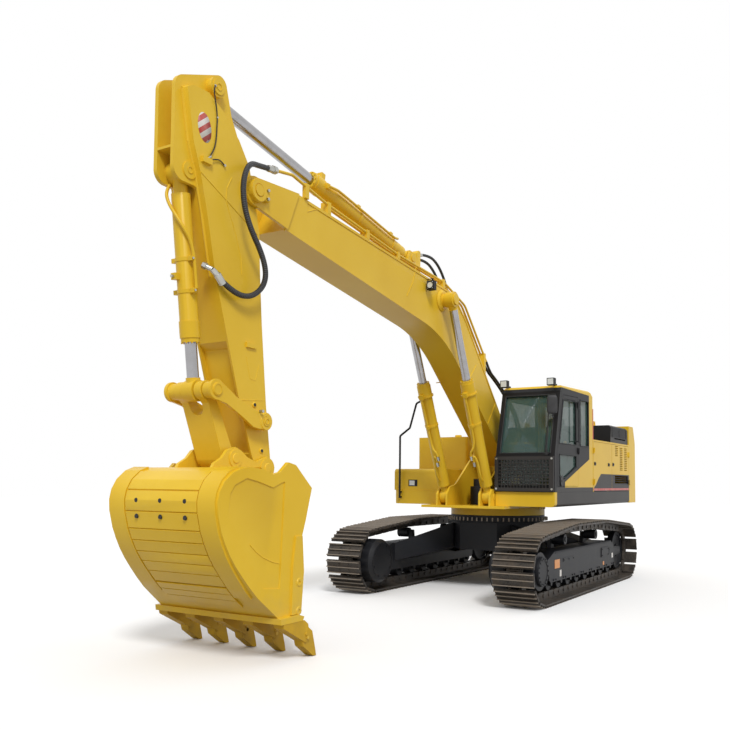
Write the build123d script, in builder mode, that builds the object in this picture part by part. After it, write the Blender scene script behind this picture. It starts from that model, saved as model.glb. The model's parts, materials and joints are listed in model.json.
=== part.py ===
"""Crawler excavator of the 46 t class, as an assembly of named pieces.

Millimetres. +Z is up, the front of the machine faces -Y and its left side (the cab side) is +X.
The origin lies on the ground under the swing axis. It stands as photographed: boom raised,
stick upright, bucket curled a little with its teeth at the ground.
"""
import math
import os

from build123d import *

os.makedirs("parts", exist_ok=True)

# General clearances and fits
pin_clearance = 0.3
face_clearance = 0.5
moving_clearance = 8
door_gap = 6

# Door hinges: pins on the frame, knuckles on the door
hinge_pin_radius = 7
knuckle_radius = 12
knuckle_half_height = 40
hinge_offset = 15
hinge_reach = 33

# Tracks
gauge = 2740
shoe_width = 600
tumbler_distance = 4360
pitch_radius = 385
grouser_height = 115
shoe_top = 84
shoe_bottom = 58
link_pitch_nominal = 216
rail_depth = 50
rail_outer = 100
rail_inner = 60
carrier_height = 1000
carrier_places = (-800, 760)
tumbler_height = pitch_radius + grouser_height

# Track frames and what they carry
frame_half_width = 170
frame_floor = 410
frame_top = 720
skirt_bottom = 290
skirt_thickness = 20
bottom_roller_count = 8
bottom_roller_radius = 108
bottom_roller_reach = 1480
carrier_roller_radius = 80
carrier_drop = 12
idler_yoke_thickness = 40
idler_half_width = 52
roller_shaft_radius = 38
sprocket_teeth = 22
sprocket_half_width = 45
hub_radius = 262
hub_cap_radius = 205
motor_guard_radius = 330
motor_guard_depth = 250

# Carbody and slew ring
carbody_floor = 620
carbody_top = 1060
carbody_half = 780
ring_seat_height = 30
ring_radius = 790
ring_bore = 600
ring_height = 90
band_thickness = 40

# Upper structure
deck_floor = 1350
deck_top = 1575
half_width = 1447
deck_front = -1200
tail_radius = 3790
plate_top = deck_floor
plate_half_width = 720
bracket_inner = 268
bracket_plate = 32
cylinder_x = 370
cylinder_bracket_outer = 440
pin_end = 6
deck_inner = 486

# Pivots, as (Y, Z)
boom_foot = (-50, 2200)
boom_cylinder_foot = (-1200, 1490)
boom_cylinder_eye = (-2500, 4340)
boom_tip = (-6650, 4640)
arm_cylinder_foot = (-3180, 4820)
arm_cylinder_eye = (-7170, 5510)
bucket_cylinder_foot = (-7450, 4605)
rocker_pivot = (-6475, 2305)
link_pin = (-7190, 2560)
bucket_link_pivot = (-6863, 1921)
bucket_pivot = (-6385, 1835)

# Boom, stick and bucket
boom_half_width = 225
web_inset = 9
flange_thickness = 26
boom_ear_inner = 213
boom_ear_outer = 252
boom_boss_outer = 300
foot_pin_radius = 65
boom_tip_pin_radius = 60
stick_half_width = 205
nose_outer = 130
fork_clearance = 14
bucket_back_half = 684
bucket_mouth_half = 796
bucket_lip_half = 825
bucket_side_plate = 32
bucket_rim = 10
ear_thickness = 36
link_outer = 173
rocker_thickness = 36
pin_radius = 50
pin_cap = 12

# Cylinders: barrel radius, rod radius, eye radius, half width of the eye
boom_cylinder = (98, 60, 112, 62)
arm_cylinder = (105, 65, 115, 72)
bucket_cylinder = (90, 58, 105, 70)
barrel_start = 200
barrel_bottom = 30
gland_step = 8
collar_length = 20
gland_length = 160

# Cab
cab_width = 955
cab_right = half_width - cab_width
cab_left = half_width
cab_floor = deck_top
cab_wall = 50
cab_back = 680
cab_front = deck_front
cab_roof = 3220
cab_brow = (-935, 3130)
cab_knee = 2120
roof_rise = 40
guard_gap = 20
guard_thickness = 24
guard_height = 530
guard_mesh = (16, 8)
guard_bar = 9
door_thickness = 45
pane_thickness = 8
pane_depth = 30

# Engine house and tail
house_front = 700
house_top = 2460
panel_thickness = 30
door_split = 1820
counterweight_front = 2990
counterweight_top = 2830
lift_lug_x = 700
lift_lug_thickness = 50
lift_eye_radius = 35
lid_front = 1800
lid_top = 2780


def lift(points, mode=Mode.ADD, low=0.0, high=1.0, plane=Plane.YZ):
    """Extrude a closed outline, drawn on the given plane, from low to high along its normal."""
    with BuildSketch(plane.offset(low)) as face:
        with BuildLine():
            Polyline(*points, close=True)
        make_face()
    return extrude(face.sketch, amount=high - low, mode=mode)


def side(points, low, high, mode=Mode.ADD):
    """A slab whose (Y, Z) outline runs from X = low to X = high."""
    return lift(points, mode, low, high, Plane.YZ)


def plan(points, low, high, mode=Mode.ADD):
    """A slab whose (X, Y) outline runs from Z = low to Z = high."""
    return lift(points, mode, low, high, Plane.XY)


def block(x_range, y_range, z_range, mode=Mode.ADD):
    """A box between the given limits."""
    (x0, x1), (y0, y1), (z0, z1) = x_range, y_range, z_range
    return plan([(x0, y0), (x1, y0), (x1, y1), (x0, y1)], z0, z1, mode)


def disc(centre, radius, low, high, mode=Mode.ADD):
    """A round bar along X at a (Y, Z) centre."""
    with BuildSketch(Plane.YZ.offset(low)) as face:
        with Locations(centre):
            Circle(radius)
    return extrude(face.sketch, amount=high - low, mode=mode)


def disc_pair(centre, radius, low, high, mode=Mode.ADD):
    """The same round bar on both sides of the machine's middle plane."""
    disc(centre, radius, low, high, mode)
    disc(centre, radius, -high, -low, mode)


def side_pair(points, low, high, mode=Mode.ADD):
    """The same slab on both sides of the machine's middle plane."""
    side(points, low, high, mode)
    side(points, -high, -low, mode)


def rounded(points, radii, low, high, mode=Mode.ADD):
    """A slab from X = low to high whose outline has one fillet radius at each corner, 0 for none."""
    with BuildSketch(Plane.YZ.offset(low)) as face:
        with BuildLine():
            FilletPolyline(*points, radius=radii, close=True)
        make_face()
    return extrude(face.sketch, amount=high - low, mode=mode)


def finish(piece, name):
    """Label a finished piece and write it."""
    piece.label = name
    export_step(piece, f"parts/{name}.step")


def both_sides(piece, name):
    """Write a left-hand piece and its mirror image."""
    finish(piece, f"{name}_left")
    finish(mirror(piece, about=Plane.YZ), f"{name}_right")


def along(start, end, distance):
    """The (Y, Z) point at a distance from start towards end."""
    length = math.dist(start, end)
    share = distance / length
    return (start[0] + (end[0] - start[0]) * share, start[1] + (end[1] - start[1]) * share)


def upright(x, y, radius, low, high, mode=Mode.ADD):
    """A round bar along Z."""
    with BuildSketch(Plane.XY.offset(low)) as face:
        with Locations((x, y)):
            Circle(radius)
    return extrude(face.sketch, amount=high - low, mode=mode)


def bar_on(plane, radius, low, high, mode=Mode.ADD):
    """A round bar along a plane's normal."""
    with BuildSketch(plane.offset(low)) as face:
        Circle(radius)
    return extrude(face.sketch, amount=high - low, mode=mode)


def hinge_pins(x, y, heights, arm_y, hand):
    """Upright pins in front of a door edge, each on an arm that reaches the frame."""
    for z in heights:
        low, high = z - knuckle_half_height - 20, z - knuckle_half_height - 2
        upright(x, y, knuckle_radius - 1, low, high)
        block(sorted((x - hand * hinge_offset, x + hand * 8)), sorted((y, arm_y)), (low, high))
        upright(x, y, hinge_pin_radius, low, z + knuckle_half_height)


def hinge_knuckles(x, y, heights, arm_y, hand):
    """The door's knuckles round those pins, each on a strap that lies on the door."""
    for z in heights:
        low, high = z - knuckle_half_height, z + knuckle_half_height
        upright(x, y, knuckle_radius, low, high)
        block(sorted((x - hand * hinge_offset, x - hand * 2)), sorted((y, arm_y)), (low, high))
        upright(x, y, hinge_pin_radius + pin_clearance, low - 5, high + 5, Mode.SUBTRACT)


# Track: one loop whose outline carries the shoes
half_distance = tumbler_distance / 2
sprocket_centre = (-half_distance, tumbler_height)
idler_centre = (half_distance, tumbler_height)
track_x = gauge / 2


def arc_points(centre, radius, start_angle, end_angle, steps):
    """Points along an arc in the Y-Z plane, angles in degrees from +Y."""
    found = []
    for i in range(steps + 1):
        angle = math.radians(start_angle + (end_angle - start_angle) * i / steps)
        found.append((centre[0] + radius * math.cos(angle), centre[1] + radius * math.sin(angle)))
    return found


track_path = (
    [(-half_distance, grouser_height)]
    + arc_points(idler_centre, pitch_radius, -90, 90, 60)
    + [(carrier_places[1], carrier_height), (carrier_places[0], carrier_height)]
    + arc_points(sprocket_centre, pitch_radius, 90, 270, 60)
)


def spaced(path, count):
    """Points at even distances along a closed path."""
    lengths = [math.dist(a, b) for a, b in zip(path, path[1:])]
    total = sum(lengths)
    found = []
    for i in range(count):
        target = total * i / count
        for a, b, length in zip(path, path[1:], lengths):
            if target <= length and length > 0:
                found.append(along(a, b, target))
                break
            target -= length
    return found


track_length = sum(math.dist(a, b) for a, b in zip(track_path, track_path[1:]))
shoe_count = round(track_length / link_pitch_nominal)
track_pins = spaced(track_path, shoe_count)

# One shoe's outline: share of the pitch from its middle, height over the pin line
shoe_outline = (
    (-0.48, shoe_top - 6),
    (-0.33, grouser_height),
    (-0.17, shoe_top),
    (0.0, grouser_height),
    (0.17, shoe_top),
    (0.33, grouser_height),
    (0.48, shoe_top - 6),
)


def shoe_ring():
    """The outer line of the track, shoe by shoe."""
    found = []
    for a, b in zip(track_pins, track_pins[1:] + track_pins[:1]):
        pitch = math.dist(a, b)
        along_y, along_z = (b[0] - a[0]) / pitch, (b[1] - a[1]) / pitch
        middle = ((a[0] + b[0]) / 2, (a[1] + b[1]) / 2)
        for share, height in shoe_outline:
            step = share * pitch
            found.append((middle[0] + along_y * step + along_z * height, middle[1] + along_z * step - along_y * height))
    return found


def pin_ring(height):
    """A ring through the pins, moved outwards by a height."""
    found = []
    count = len(track_pins)
    for i, pin in enumerate(track_pins):
        before, after = track_pins[i - 1], track_pins[(i + 1) % count]
        span = math.dist(before, after)
        out_y, out_z = (after[1] - before[1]) / span, -(after[0] - before[0]) / span
        found.append((pin[0] + out_y * height, pin[1] + out_z * height))
    return found


with BuildPart() as track:
    side(shoe_ring(), track_x - shoe_width / 2, track_x + shoe_width / 2)
    side(pin_ring(shoe_bottom), track_x - shoe_width / 2, track_x + shoe_width / 2, Mode.SUBTRACT)
    for inner, outer in ((rail_inner, rail_outer), (-rail_outer, -rail_inner)):
        with BuildSketch(Plane.YZ.offset(track_x + inner)) as rail:
            with BuildLine():
                Polyline(*pin_ring(shoe_bottom), close=True)
            make_face()
            with BuildLine():
                Polyline(*pin_ring(-rail_depth), close=True)
            make_face(mode=Mode.SUBTRACT)
        extrude(rail.sketch, amount=outer - inner)
both_sides(track.part, "track")

# Track frame: sloped box, skirts that hold the rollers, idler yoke and final drive plate
rail_level = grouser_height + rail_depth
bottom_roller_z = rail_level + bottom_roller_radius + face_clearance
frame_profile = [
    (-1760, frame_floor),
    (-1760, 620),
    (-1480, frame_top),
    (1380, frame_top),
    (1540, 640),
    (1540, frame_floor),
]
skirt_profile = [(-1700, frame_floor), (1540, frame_floor), (1540, 330), (1480, skirt_bottom), (-1640, skirt_bottom), (-1700, 330)]
yoke_profile = [(1540, 600), (1540, 430), (1900, 420), (2240, 440), (2240, 560), (1900, 585)]
drive_plate_outer = frame_half_width
drive_plate_inner = frame_half_width - 40
carrier_bracket_half = 70

with BuildPart() as track_frame:
    side(frame_profile, track_x - frame_half_width, track_x + frame_half_width)
    for low in (-frame_half_width, frame_half_width - skirt_thickness):
        side(skirt_profile, track_x + low, track_x + low + skirt_thickness)
    for low in (-idler_half_width - idler_yoke_thickness, idler_half_width):
        side(yoke_profile, track_x + low, track_x + low + idler_yoke_thickness)
    side(
        [(-1760, 640), (-1760, 420), (-2180, 300), (-2180, 700)],
        track_x - drive_plate_outer,
        track_x - drive_plate_inner,
    )
    disc(sprocket_centre, hub_radius + 18, track_x - drive_plate_outer, track_x - drive_plate_inner)
    carrier_z = carrier_height - rail_depth - carrier_roller_radius - carrier_drop
    for place in carrier_places:
        side(
            [
                (place - carrier_bracket_half, frame_top),
                (place + carrier_bracket_half, frame_top),
                (place + 45, carrier_z + 45),
                (place - 45, carrier_z + 45),
            ],
            track_x - frame_half_width,
            track_x - rail_outer - 10,
        )
both_sides(track_frame.part, "track_frame")

# Rollers: eight below and two above, on one node because they don't touch

def roller(place, height, radius, shaft_low, shaft_high):
    """A double-flanged roller between its shaft ends."""
    centre = (place, height)
    disc(centre, radius, track_x - rail_outer, track_x + rail_outer)
    disc(centre, radius - 26, track_x - rail_inner + 4, track_x + rail_inner - 4, Mode.ADD)
    disc(centre, roller_shaft_radius, track_x + shaft_low, track_x - rail_outer)
    disc(centre, roller_shaft_radius, track_x + rail_outer, track_x + shaft_high)


roller_spacing = 2 * bottom_roller_reach / (bottom_roller_count - 1)
with BuildPart() as rollers:
    shaft_end = frame_half_width - skirt_thickness
    for i in range(bottom_roller_count):
        place = -bottom_roller_reach - 70 + i * roller_spacing
        roller(place, bottom_roller_z, bottom_roller_radius, -shaft_end, shaft_end)
    for place in carrier_places:
        roller(place, carrier_z, carrier_roller_radius, -rail_outer - 10, rail_outer + 12)
both_sides(rollers.part, "track_rollers")

# Idler at the rear
with BuildPart() as idler:
    rail_radius = pitch_radius - rail_depth - face_clearance
    disc(idler_centre, rail_radius, track_x - idler_half_width, track_x + idler_half_width)
    disc(idler_centre, rail_radius - 60, track_x - idler_half_width, track_x - idler_half_width + 22, Mode.SUBTRACT)
    disc(idler_centre, rail_radius - 60, track_x + idler_half_width - 22, track_x + idler_half_width, Mode.SUBTRACT)
    disc(idler_centre, 110, track_x - idler_half_width, track_x + idler_half_width)
both_sides(idler.part, "idler")


def tooth_ring():
    """Sprocket outline, four points a tooth."""
    found = []
    root, tip = pitch_radius - 48, pitch_radius + 2
    for i in range(sprocket_teeth):
        for share, radius in ((-0.34, root), (-0.13, tip), (0.13, tip), (0.34, root)):
            angle = (i + share) * 2 * math.pi / sprocket_teeth
            found.append((sprocket_centre[0] + radius * math.cos(angle), sprocket_centre[1] + radius * math.sin(angle)))
    return found


# Final drive at the front: sprocket, hub, cap and the round guard of the travel motor
with BuildPart() as final_drive:
    side(tooth_ring(), track_x - sprocket_half_width, track_x + sprocket_half_width)
    disc(sprocket_centre, hub_radius, track_x - drive_plate_inner, track_x + 215)
    disc(sprocket_centre, hub_cap_radius, track_x + 215, track_x + 262)
    guard_face = track_x - drive_plate_outer
    disc(sprocket_centre, motor_guard_radius, guard_face - motor_guard_depth, guard_face)
    rims = final_drive.edges().filter_by(GeomType.CIRCLE).group_by(Axis.X)
    chamfer(rims[0], length=55)
    chamfer(rims[-1], length=14)
both_sides(final_drive.part, "final_drive")

# Carbody: an octagon with four splayed legs that reach the track frames
leg_root = 520
leg_end = track_x - frame_half_width
leg_sections = (
    # X, Y near, Y far, Z low, Z high
    (leg_root, 120, 640, carbody_floor + 20, carbody_top - 20),
    (leg_end, 780, 1400, frame_floor + 20, frame_top - 5),
)


def leg(way, hand):
    """One splayed leg, from the middle block down to a track frame."""
    faces = []
    for x, near, far, low, high in leg_sections:
        with BuildSketch(Plane.YZ.offset(hand * x)) as face:
            with BuildLine():
                Polyline((way * near, low), (way * far, low), (way * far, high), (way * near, high), close=True)
            make_face()
        faces.append(face.sketch)
    loft(faces)


with BuildPart() as carbody:
    cut = carbody_half * 0.42
    octagon = []
    for x, y in ((1, -1), (1, 1), (-1, 1), (-1, -1)):
        near = (x * carbody_half, y * cut)
        far = (x * cut, y * carbody_half)
        octagon += [near, far] if x * y > 0 else [far, near]
    plan(octagon, carbody_floor, carbody_top)
    for way in (-1, 1):
        for hand in (-1, 1):
            leg(way, hand)
    with BuildSketch(Plane.XY.offset(carbody_top)):
        Circle(ring_radius - 20)
    extrude(amount=ring_seat_height)
finish(carbody.part, "carbody")

ring_floor = carbody_top + ring_seat_height
with BuildPart() as slew_ring:
    with BuildSketch(Plane.XY.offset(ring_floor)):
        Circle(ring_radius)
        Circle(ring_bore, mode=Mode.SUBTRACT)
    extrude(amount=ring_height)
finish(slew_ring.part, "slew_ring")

# Turntable frame: bearing band, floor plate, boom brackets and cylinder brackets
band_floor = ring_floor + ring_height + face_clearance
band_top = plate_top - band_thickness
outer_bracket = (cylinder_bracket_outer, cylinder_bracket_outer + bracket_plate)
inner_bracket = (bracket_inner, bracket_inner + bracket_plate)
foot_y, foot_z = boom_cylinder_foot
pivot_y, pivot_z = boom_foot
main_plate = [
    (foot_y - 160, plate_top),
    (foot_y - 160, foot_z + 40),
    (foot_y - 60, foot_z + 150),
    (foot_y + 150, foot_z + 190),
    (pivot_y - 170, pivot_z + 90),
    (pivot_y + 170, pivot_z + 90),
    (pivot_y + 820, plate_top + 420),
    (pivot_y + 820, plate_top),
]
small_plate = [
    (foot_y - 160, plate_top),
    (foot_y - 160, foot_z + 30),
    (foot_y - 90, foot_z + 120),
    (foot_y + 90, foot_z + 120),
    (foot_y + 190, plate_top),
]
with BuildPart() as turntable_frame:
    with BuildSketch(Plane.XY.offset(band_floor)):
        Circle(ring_radius)
    extrude(amount=band_top - band_floor)
    block((-plate_half_width, plate_half_width), (foot_y - 190, counterweight_front), (band_top, plate_top))
    side_pair(main_plate, *inner_bracket)
    disc_pair(boom_foot, 190, *inner_bracket)
    side_pair(small_plate, *outer_bracket)
    disc(boom_foot, foot_pin_radius, -inner_bracket[1] - pin_end, inner_bracket[1] + pin_end)
    disc_pair(boom_cylinder_foot, pin_radius, inner_bracket[0], outer_bracket[1] + pin_end)
finish(turntable_frame.part, "turntable_frame")


def boss_bore(centre, radius):
    """Bore for a pin that runs right through, with its running clearance."""
    disc(centre, radius + pin_clearance, -700, 700, Mode.SUBTRACT)


# Boom: box with a knee, fork at the tip and a boss at the foot
tip_y, tip_z = boom_tip
ear_root = 530
boom_corners = (
    # Y, Z, fillet radius
    (tip_y + 520, tip_z - 250, 0),
    (tip_y + 740, tip_z + 200, 0),
    (-2130, 4515, 500),
    (-1700, 4190, 600),
    (pivot_y + 190, pivot_z + 80, 0),
    (pivot_y - 40, pivot_z - 210, 0),
    (-2465, 3844, 2200),
)
web_corners = (
    # Y, Z, fillet radius, inside the edges of the top and bottom plates
    (tip_y + 900, tip_z - 307 + flange_thickness, 0),
    (tip_y + 900, tip_z + 180 - flange_thickness, 0),
    (-2138, 4515 - flange_thickness, 480),
    (-1712, 4190 - flange_thickness, 580),
    (pivot_y - 550, pivot_z + 811, 0),
    (pivot_y - 850, pivot_z + 455, 0),
    (-2460, 3844 + flange_thickness, 2220),
)
ear_profile = [
    (tip_y + 30, tip_z + 148),
    (tip_y + ear_root + 190, tip_z + 198),
    (tip_y + ear_root, tip_z - 248),
    (tip_y + 10, tip_z - 150),
]
arm_bracket_inner = arm_cylinder[3] + moving_clearance
arm_bracket = [
    (arm_cylinder_foot[0] - 240, arm_cylinder_foot[1] - 230),
    (arm_cylinder_foot[0] - 80, arm_cylinder_foot[1] + 75),
    (arm_cylinder_foot[0] + 80, arm_cylinder_foot[1] + 75),
    (arm_cylinder_foot[0] + 260, arm_cylinder_foot[1] - 260),
]
with BuildPart() as boom:
    rounded([c[:2] for c in boom_corners], [c[2] for c in boom_corners], -boom_half_width, boom_half_width)
    for low in (boom_half_width - web_inset, -boom_half_width - 1):
        rounded([c[:2] for c in web_corners], [c[2] for c in web_corners], low, low + web_inset + 1, Mode.SUBTRACT)
    side_pair(ear_profile, boom_ear_inner, boom_ear_outer)
    disc_pair(boom_tip, 150, boom_ear_inner, boom_ear_outer)
    disc_pair(boom_tip, 118, boom_ear_outer, boom_boss_outer)
    disc(boom_foot, 185, -bracket_inner + moving_clearance, bracket_inner - moving_clearance)
    boss_bore(boom_foot, foot_pin_radius)
    disc_pair(boom_cylinder_eye, 130, boom_half_width - web_inset, boom_half_width + 30)
    disc_pair(boom_cylinder_eye, 96, boom_half_width, cylinder_x - boom_cylinder[3] - moving_clearance)
    side_pair(arm_bracket, arm_bracket_inner, arm_bracket_inner + 34)
    disc(arm_cylinder_foot, pin_radius, -arm_bracket_inner - 34 - pin_cap, arm_bracket_inner + 34 + pin_cap)
    disc(boom_tip, boom_tip_pin_radius, -boom_boss_outer - pin_cap, boom_boss_outer + pin_cap)
finish(boom.part, "boom")

# Hard pipes along the top of the boom, from the stick hose to the hoses behind the cab
pipe_radius = 17
pipe_x = (150, 204)
front_pipe_x = 250
pipe_route = (
    # Y, Z
    (-6400, 4950),
    (-6060, 5005),
    (-5350, 4905),
    (-3750, 4716),
    (-2420, 4634),
    (-1720, 4425),
    (-930, 3665),
)
pipe_bends = (180, 220, 300, 300, 260)
boom_top_front = (tip_y + 740, tip_z + 200)
boom_top_knee = (-2130, 4515)
boom_top_rear = (-1700, 4190)
boom_top_foot = (pivot_y + 190, pivot_z + 80)
plate_gap = 0.3


def between(start, end, y):
    """Z at a Y on the line through two (Y, Z) points."""
    return start[1] + (end[1] - start[1]) * (y - start[0]) / (end[0] - start[0])


def hard_pipe(points, radii, radius):
    """A bent pipe through points in space."""
    with BuildLine() as route:
        FilletPolyline(*points, radius=radii)
    with BuildSketch(Plane(origin=route.line @ 0, z_dir=route.line % 0)) as section:
        Circle(radius)
    sweep(sections=section.sketch, path=route.line)


def clamp(y, pipe_z, plate_start, plate_end, x_low, x_high, half=30):
    """A clamp block between the boom's top plate and the pipes."""
    low = [(y + d, between(plate_start, plate_end, y + d) + plate_gap) for d in (-half, half)]
    side(low + [(y + half, pipe_z + 30), (y - half, pipe_z + 30)], x_low, x_high)


hose_block_rear = -2890
hose_foot = (
    (-1985, between(boom_top_knee, boom_top_rear, -1985) + plate_gap),
    (-1840, between(boom_top_knee, boom_top_rear, -1840) + plate_gap),
    (-1840, 4365),
    (-1985, 4425),
)
knee_routes = (
    # X, then (Y, Z) along the hose and the end of its stub in the foot block
    (35, ((hose_block_rear + 5.2, 4950), (-2600, 5020), (-2290, 4960), (-2010, 4700), (-1930, 4480)), (-1894, 4380)),
    (-45, ((hose_block_rear + 4.2, 4905), (-2600, 4960), (-2310, 4900), (-2045, 4665), (-1960, 4450)), (-1942, 4404)),
)
with BuildPart() as boom_pipes:
    outer = [(front_pipe_x if y < -6000 else pipe_x[1], y, z) for y, z in pipe_route]
    hard_pipe(outer, pipe_bends, pipe_radius)
    hard_pipe([(pipe_x[0], y, z) for y, z in pipe_route[2:]], pipe_bends[2:], pipe_radius)
    clamp(-5790, 4967, boom_top_front, boom_top_knee, pipe_x[1], front_pipe_x + 4)
    clamp(-5330, 4902, boom_top_front, boom_top_knee, pipe_x[0] - 30, pipe_x[1] + 22)
    clamp(-4500, 4805, boom_top_front, boom_top_knee, pipe_x[0] - 30, pipe_x[1] + 22)
    clamp(-3750, 4716, boom_top_front, boom_top_knee, pipe_x[0] - 30, pipe_x[1] + 22)
    clamp(-2450, 4636, boom_top_front, boom_top_knee, pipe_x[0] - 30, pipe_x[1] + 22)
    clamp(-1020, 3750, boom_top_rear, boom_top_foot, pipe_x[0] - 30, pipe_x[1] + 22)
    side(
        [
            (hose_block_rear - 90, between(boom_top_front, boom_top_knee, hose_block_rear - 90) + plate_gap),
            (hose_block_rear, between(boom_top_front, boom_top_knee, hose_block_rear) + plate_gap),
            (hose_block_rear, 4990),
            (hose_block_rear - 60, 4990),
            (hose_block_rear - 90, 4950),
        ],
        -78,
        70,
    )
    side(hose_foot, -78, 70)
    for x, places, foot in knee_routes:
        stub = Plane(origin=(x, *places[-1]), z_dir=(0, foot[0] - places[-1][0], foot[1] - places[-1][1]))
        with BuildSketch(stub.offset(0.3)) as section:
            Circle(24)
        extrude(section.sketch, amount=math.dist(places[-1], foot))
finish(boom_pipes.part, "boom_pipes")


def hose(name, points, diameter):
    """A plain tube along straight runs joined by arcs as large as the runs allow."""
    radii = []
    for before, point, after in zip(points, points[1:], points[2:]):
        first, second = Vector(*point) - Vector(*before), Vector(*after) - Vector(*point)
        half_turn = math.radians(first.get_angle(second)) / 2
        radii.append(0.45 * min(first.length, second.length) / math.tan(half_turn))
    with BuildPart() as tube:
        with BuildLine() as route:
            FilletPolyline(*points, radius=radii)
        with BuildSketch(Plane(origin=route.line @ 0, z_dir=route.line % 0)):
            Circle(diameter / 2)
        sweep()
    finish(tube.part, name)
    length = sum(edge.length for edge in route.edges())
    filled = tube.part.volume / (math.pi * diameter**2 / 4 * length)
    print(name, round(length), "mm, tightest", round(min(radii) / diameter, 1), "diameters, filled", round(filled, 3))


# Hoses: one past the boom tip to the stick, two over the knee, two down behind the cab
stick_hose_route = (
    (front_pipe_x, -6400.3, 4949.95),
    (front_pipe_x, -6575, 4921.7),
    (332, -6860, 4850),
    (368, -6985, 4560),
    (362, -6890, 4235),
    (345, -6545, 3900),
    (328, -6490, 3640),
    (300, -6680, 3440),
    (272, -6945, 3450),
    (250, -7140, 3630),
)
hose("stick_hose", stick_hose_route, 56)
for i in range(2):
    x, places, foot = knee_routes[i]
    hose(f"knee_hose_{i + 1}", [(x, y, z) for y, z in places], 40)
rear_route = (
    # Y, Z
    (-929.8, 3664.8),
    (-790, 3530),
    (-560, 3440),
    (-220, 3280),
    (120, 3080),
    (430, 2820),
    (600, 2430),
    (640, 2010),
    (655, 1650),
    (655, plate_top + 0.3),
)
for i in range(2):
    shift = (0, 0, 22, 16, 30, 14, 20, 10, 0, 0)
    hose(f"rear_hose_{i + 1}", [(pipe_x[i], y, z - i * d) for (y, z), d in zip(rear_route, shift)], 40)

# Widths across the stick's lower end, each from the one inside it
bucket_ear_inner = stick_half_width + moving_clearance
bucket_ear_outer = bucket_ear_inner + ear_thickness
ear_boss = 9
rocker_inner = bucket_ear_outer + ear_boss + moving_clearance
rocker_outer = rocker_inner + rocker_thickness

# Stick: box whose head is an open fork, nose plates for the bucket cylinder
slot_half = arm_cylinder[3] + fork_clearance
nose_plates = (
    # Y, Z, fillet radius
    (-7648, 4480, 120),
    (-7652, 5445, 130),
    (-7005, 5722, 95),
    (-6895, 5340, 0),
    (-6640, 4860, 0),
    (-6900, 4150, 0),
    (-7180, 4080, 0),
    (-7330, 4480, 90),
)
stick_box = [
    (-7570, 5347),
    (-7490, 5395),
    (-7290, 5405),
    (-7100, 5306),
    (-6860, 5100),
    (-6700, 4880),
    (-6530, 4260),
    (-6500, 3780),
    (-6460, 3300),
    (-6370, 2480),
    (-6280, 1880),
    (-6480, 1790),
    (-6580, 1970),
    (-6700, 2300),
    (-6790, 2540),
    (-7146, 3659),
    (-7280, 4242),
    (-7377, 4598),
    (-7477, 4869),
]
head_floor = [
    # what the fork leaves open above its floor
    (-7800, 4792),
    (-7300, 4792),
    (-6850, 4900),
    (-6300, 4940),
    (-6300, 5900),
    (-7800, 5900),
]
foot_room = [
    # what the nose leaves open round the bucket cylinder's foot
    (-7800, 4768),
    (-7390, 4768),
    (-7330, 4700),
    (-7310, 4300),
    (-7240, 4060),
    (-7800, 4060),
]
front_recess = [
    # front sheet set back between the side plates, room for the bucket link
    (-6620, 1960),
    (-6525, 2000),
    (-6648, 2319),
    (-6738, 2557),
    (-6878, 2997),
    (-6990, 3090),
    (-7100, 3090),
    (-6900, 2500),
]
with BuildPart() as stick:
    side(stick_box, -stick_half_width, stick_half_width)
    side(front_recess, -link_outer - moving_clearance, link_outer + moving_clearance, Mode.SUBTRACT)
    disc(bucket_pivot, 118, -stick_half_width, stick_half_width)
    rounded([c[:2] for c in nose_plates], [c[2] for c in nose_plates], -nose_outer, nose_outer)
    for opening in (head_floor, foot_room):
        side(opening, -slot_half, slot_half, Mode.SUBTRACT)
    disc_pair(bucket_cylinder_foot, 100, bucket_cylinder[3] + moving_clearance, slot_half)
    disc(bucket_cylinder_foot, pin_radius, -slot_half, slot_half)
    disc_pair(bucket_cylinder_foot, 82, nose_outer, nose_outer + pin_cap)
    disc_pair(arm_cylinder_eye, 98, nose_outer, stick_half_width)
    disc_pair(arm_cylinder_eye, 74, stick_half_width, stick_half_width + pin_cap)
    disc_pair(boom_tip, 165, stick_half_width - 10, stick_half_width)
    disc(boom_tip, boom_tip_pin_radius + pin_clearance, -400, 400, Mode.SUBTRACT)
    disc(rocker_pivot, pin_radius, -rocker_outer - pin_cap, rocker_outer + pin_cap)
    disc_pair(rocker_pivot, 86, stick_half_width, rocker_inner - moving_clearance)
    disc(bucket_pivot, pin_radius + pin_clearance, -400, 400, Mode.SUBTRACT)
finish(stick.part, "stick")


def frame_of(start, end):
    """Unit vectors along start-end and square to it, as (Y, Z)."""
    reach = math.dist(start, end)
    run = ((end[0] - start[0]) / reach, (end[1] - start[1]) / reach)
    return run, (-run[1], run[0])


def placed(start, end, stations):
    """Points given as (distance from start towards end, offset to its left)."""
    run, left = frame_of(start, end)
    return [(start[0] + run[0] * s + left[0] * n, start[1] + run[1] * s + left[1] * n) for s, n in stations]


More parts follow.
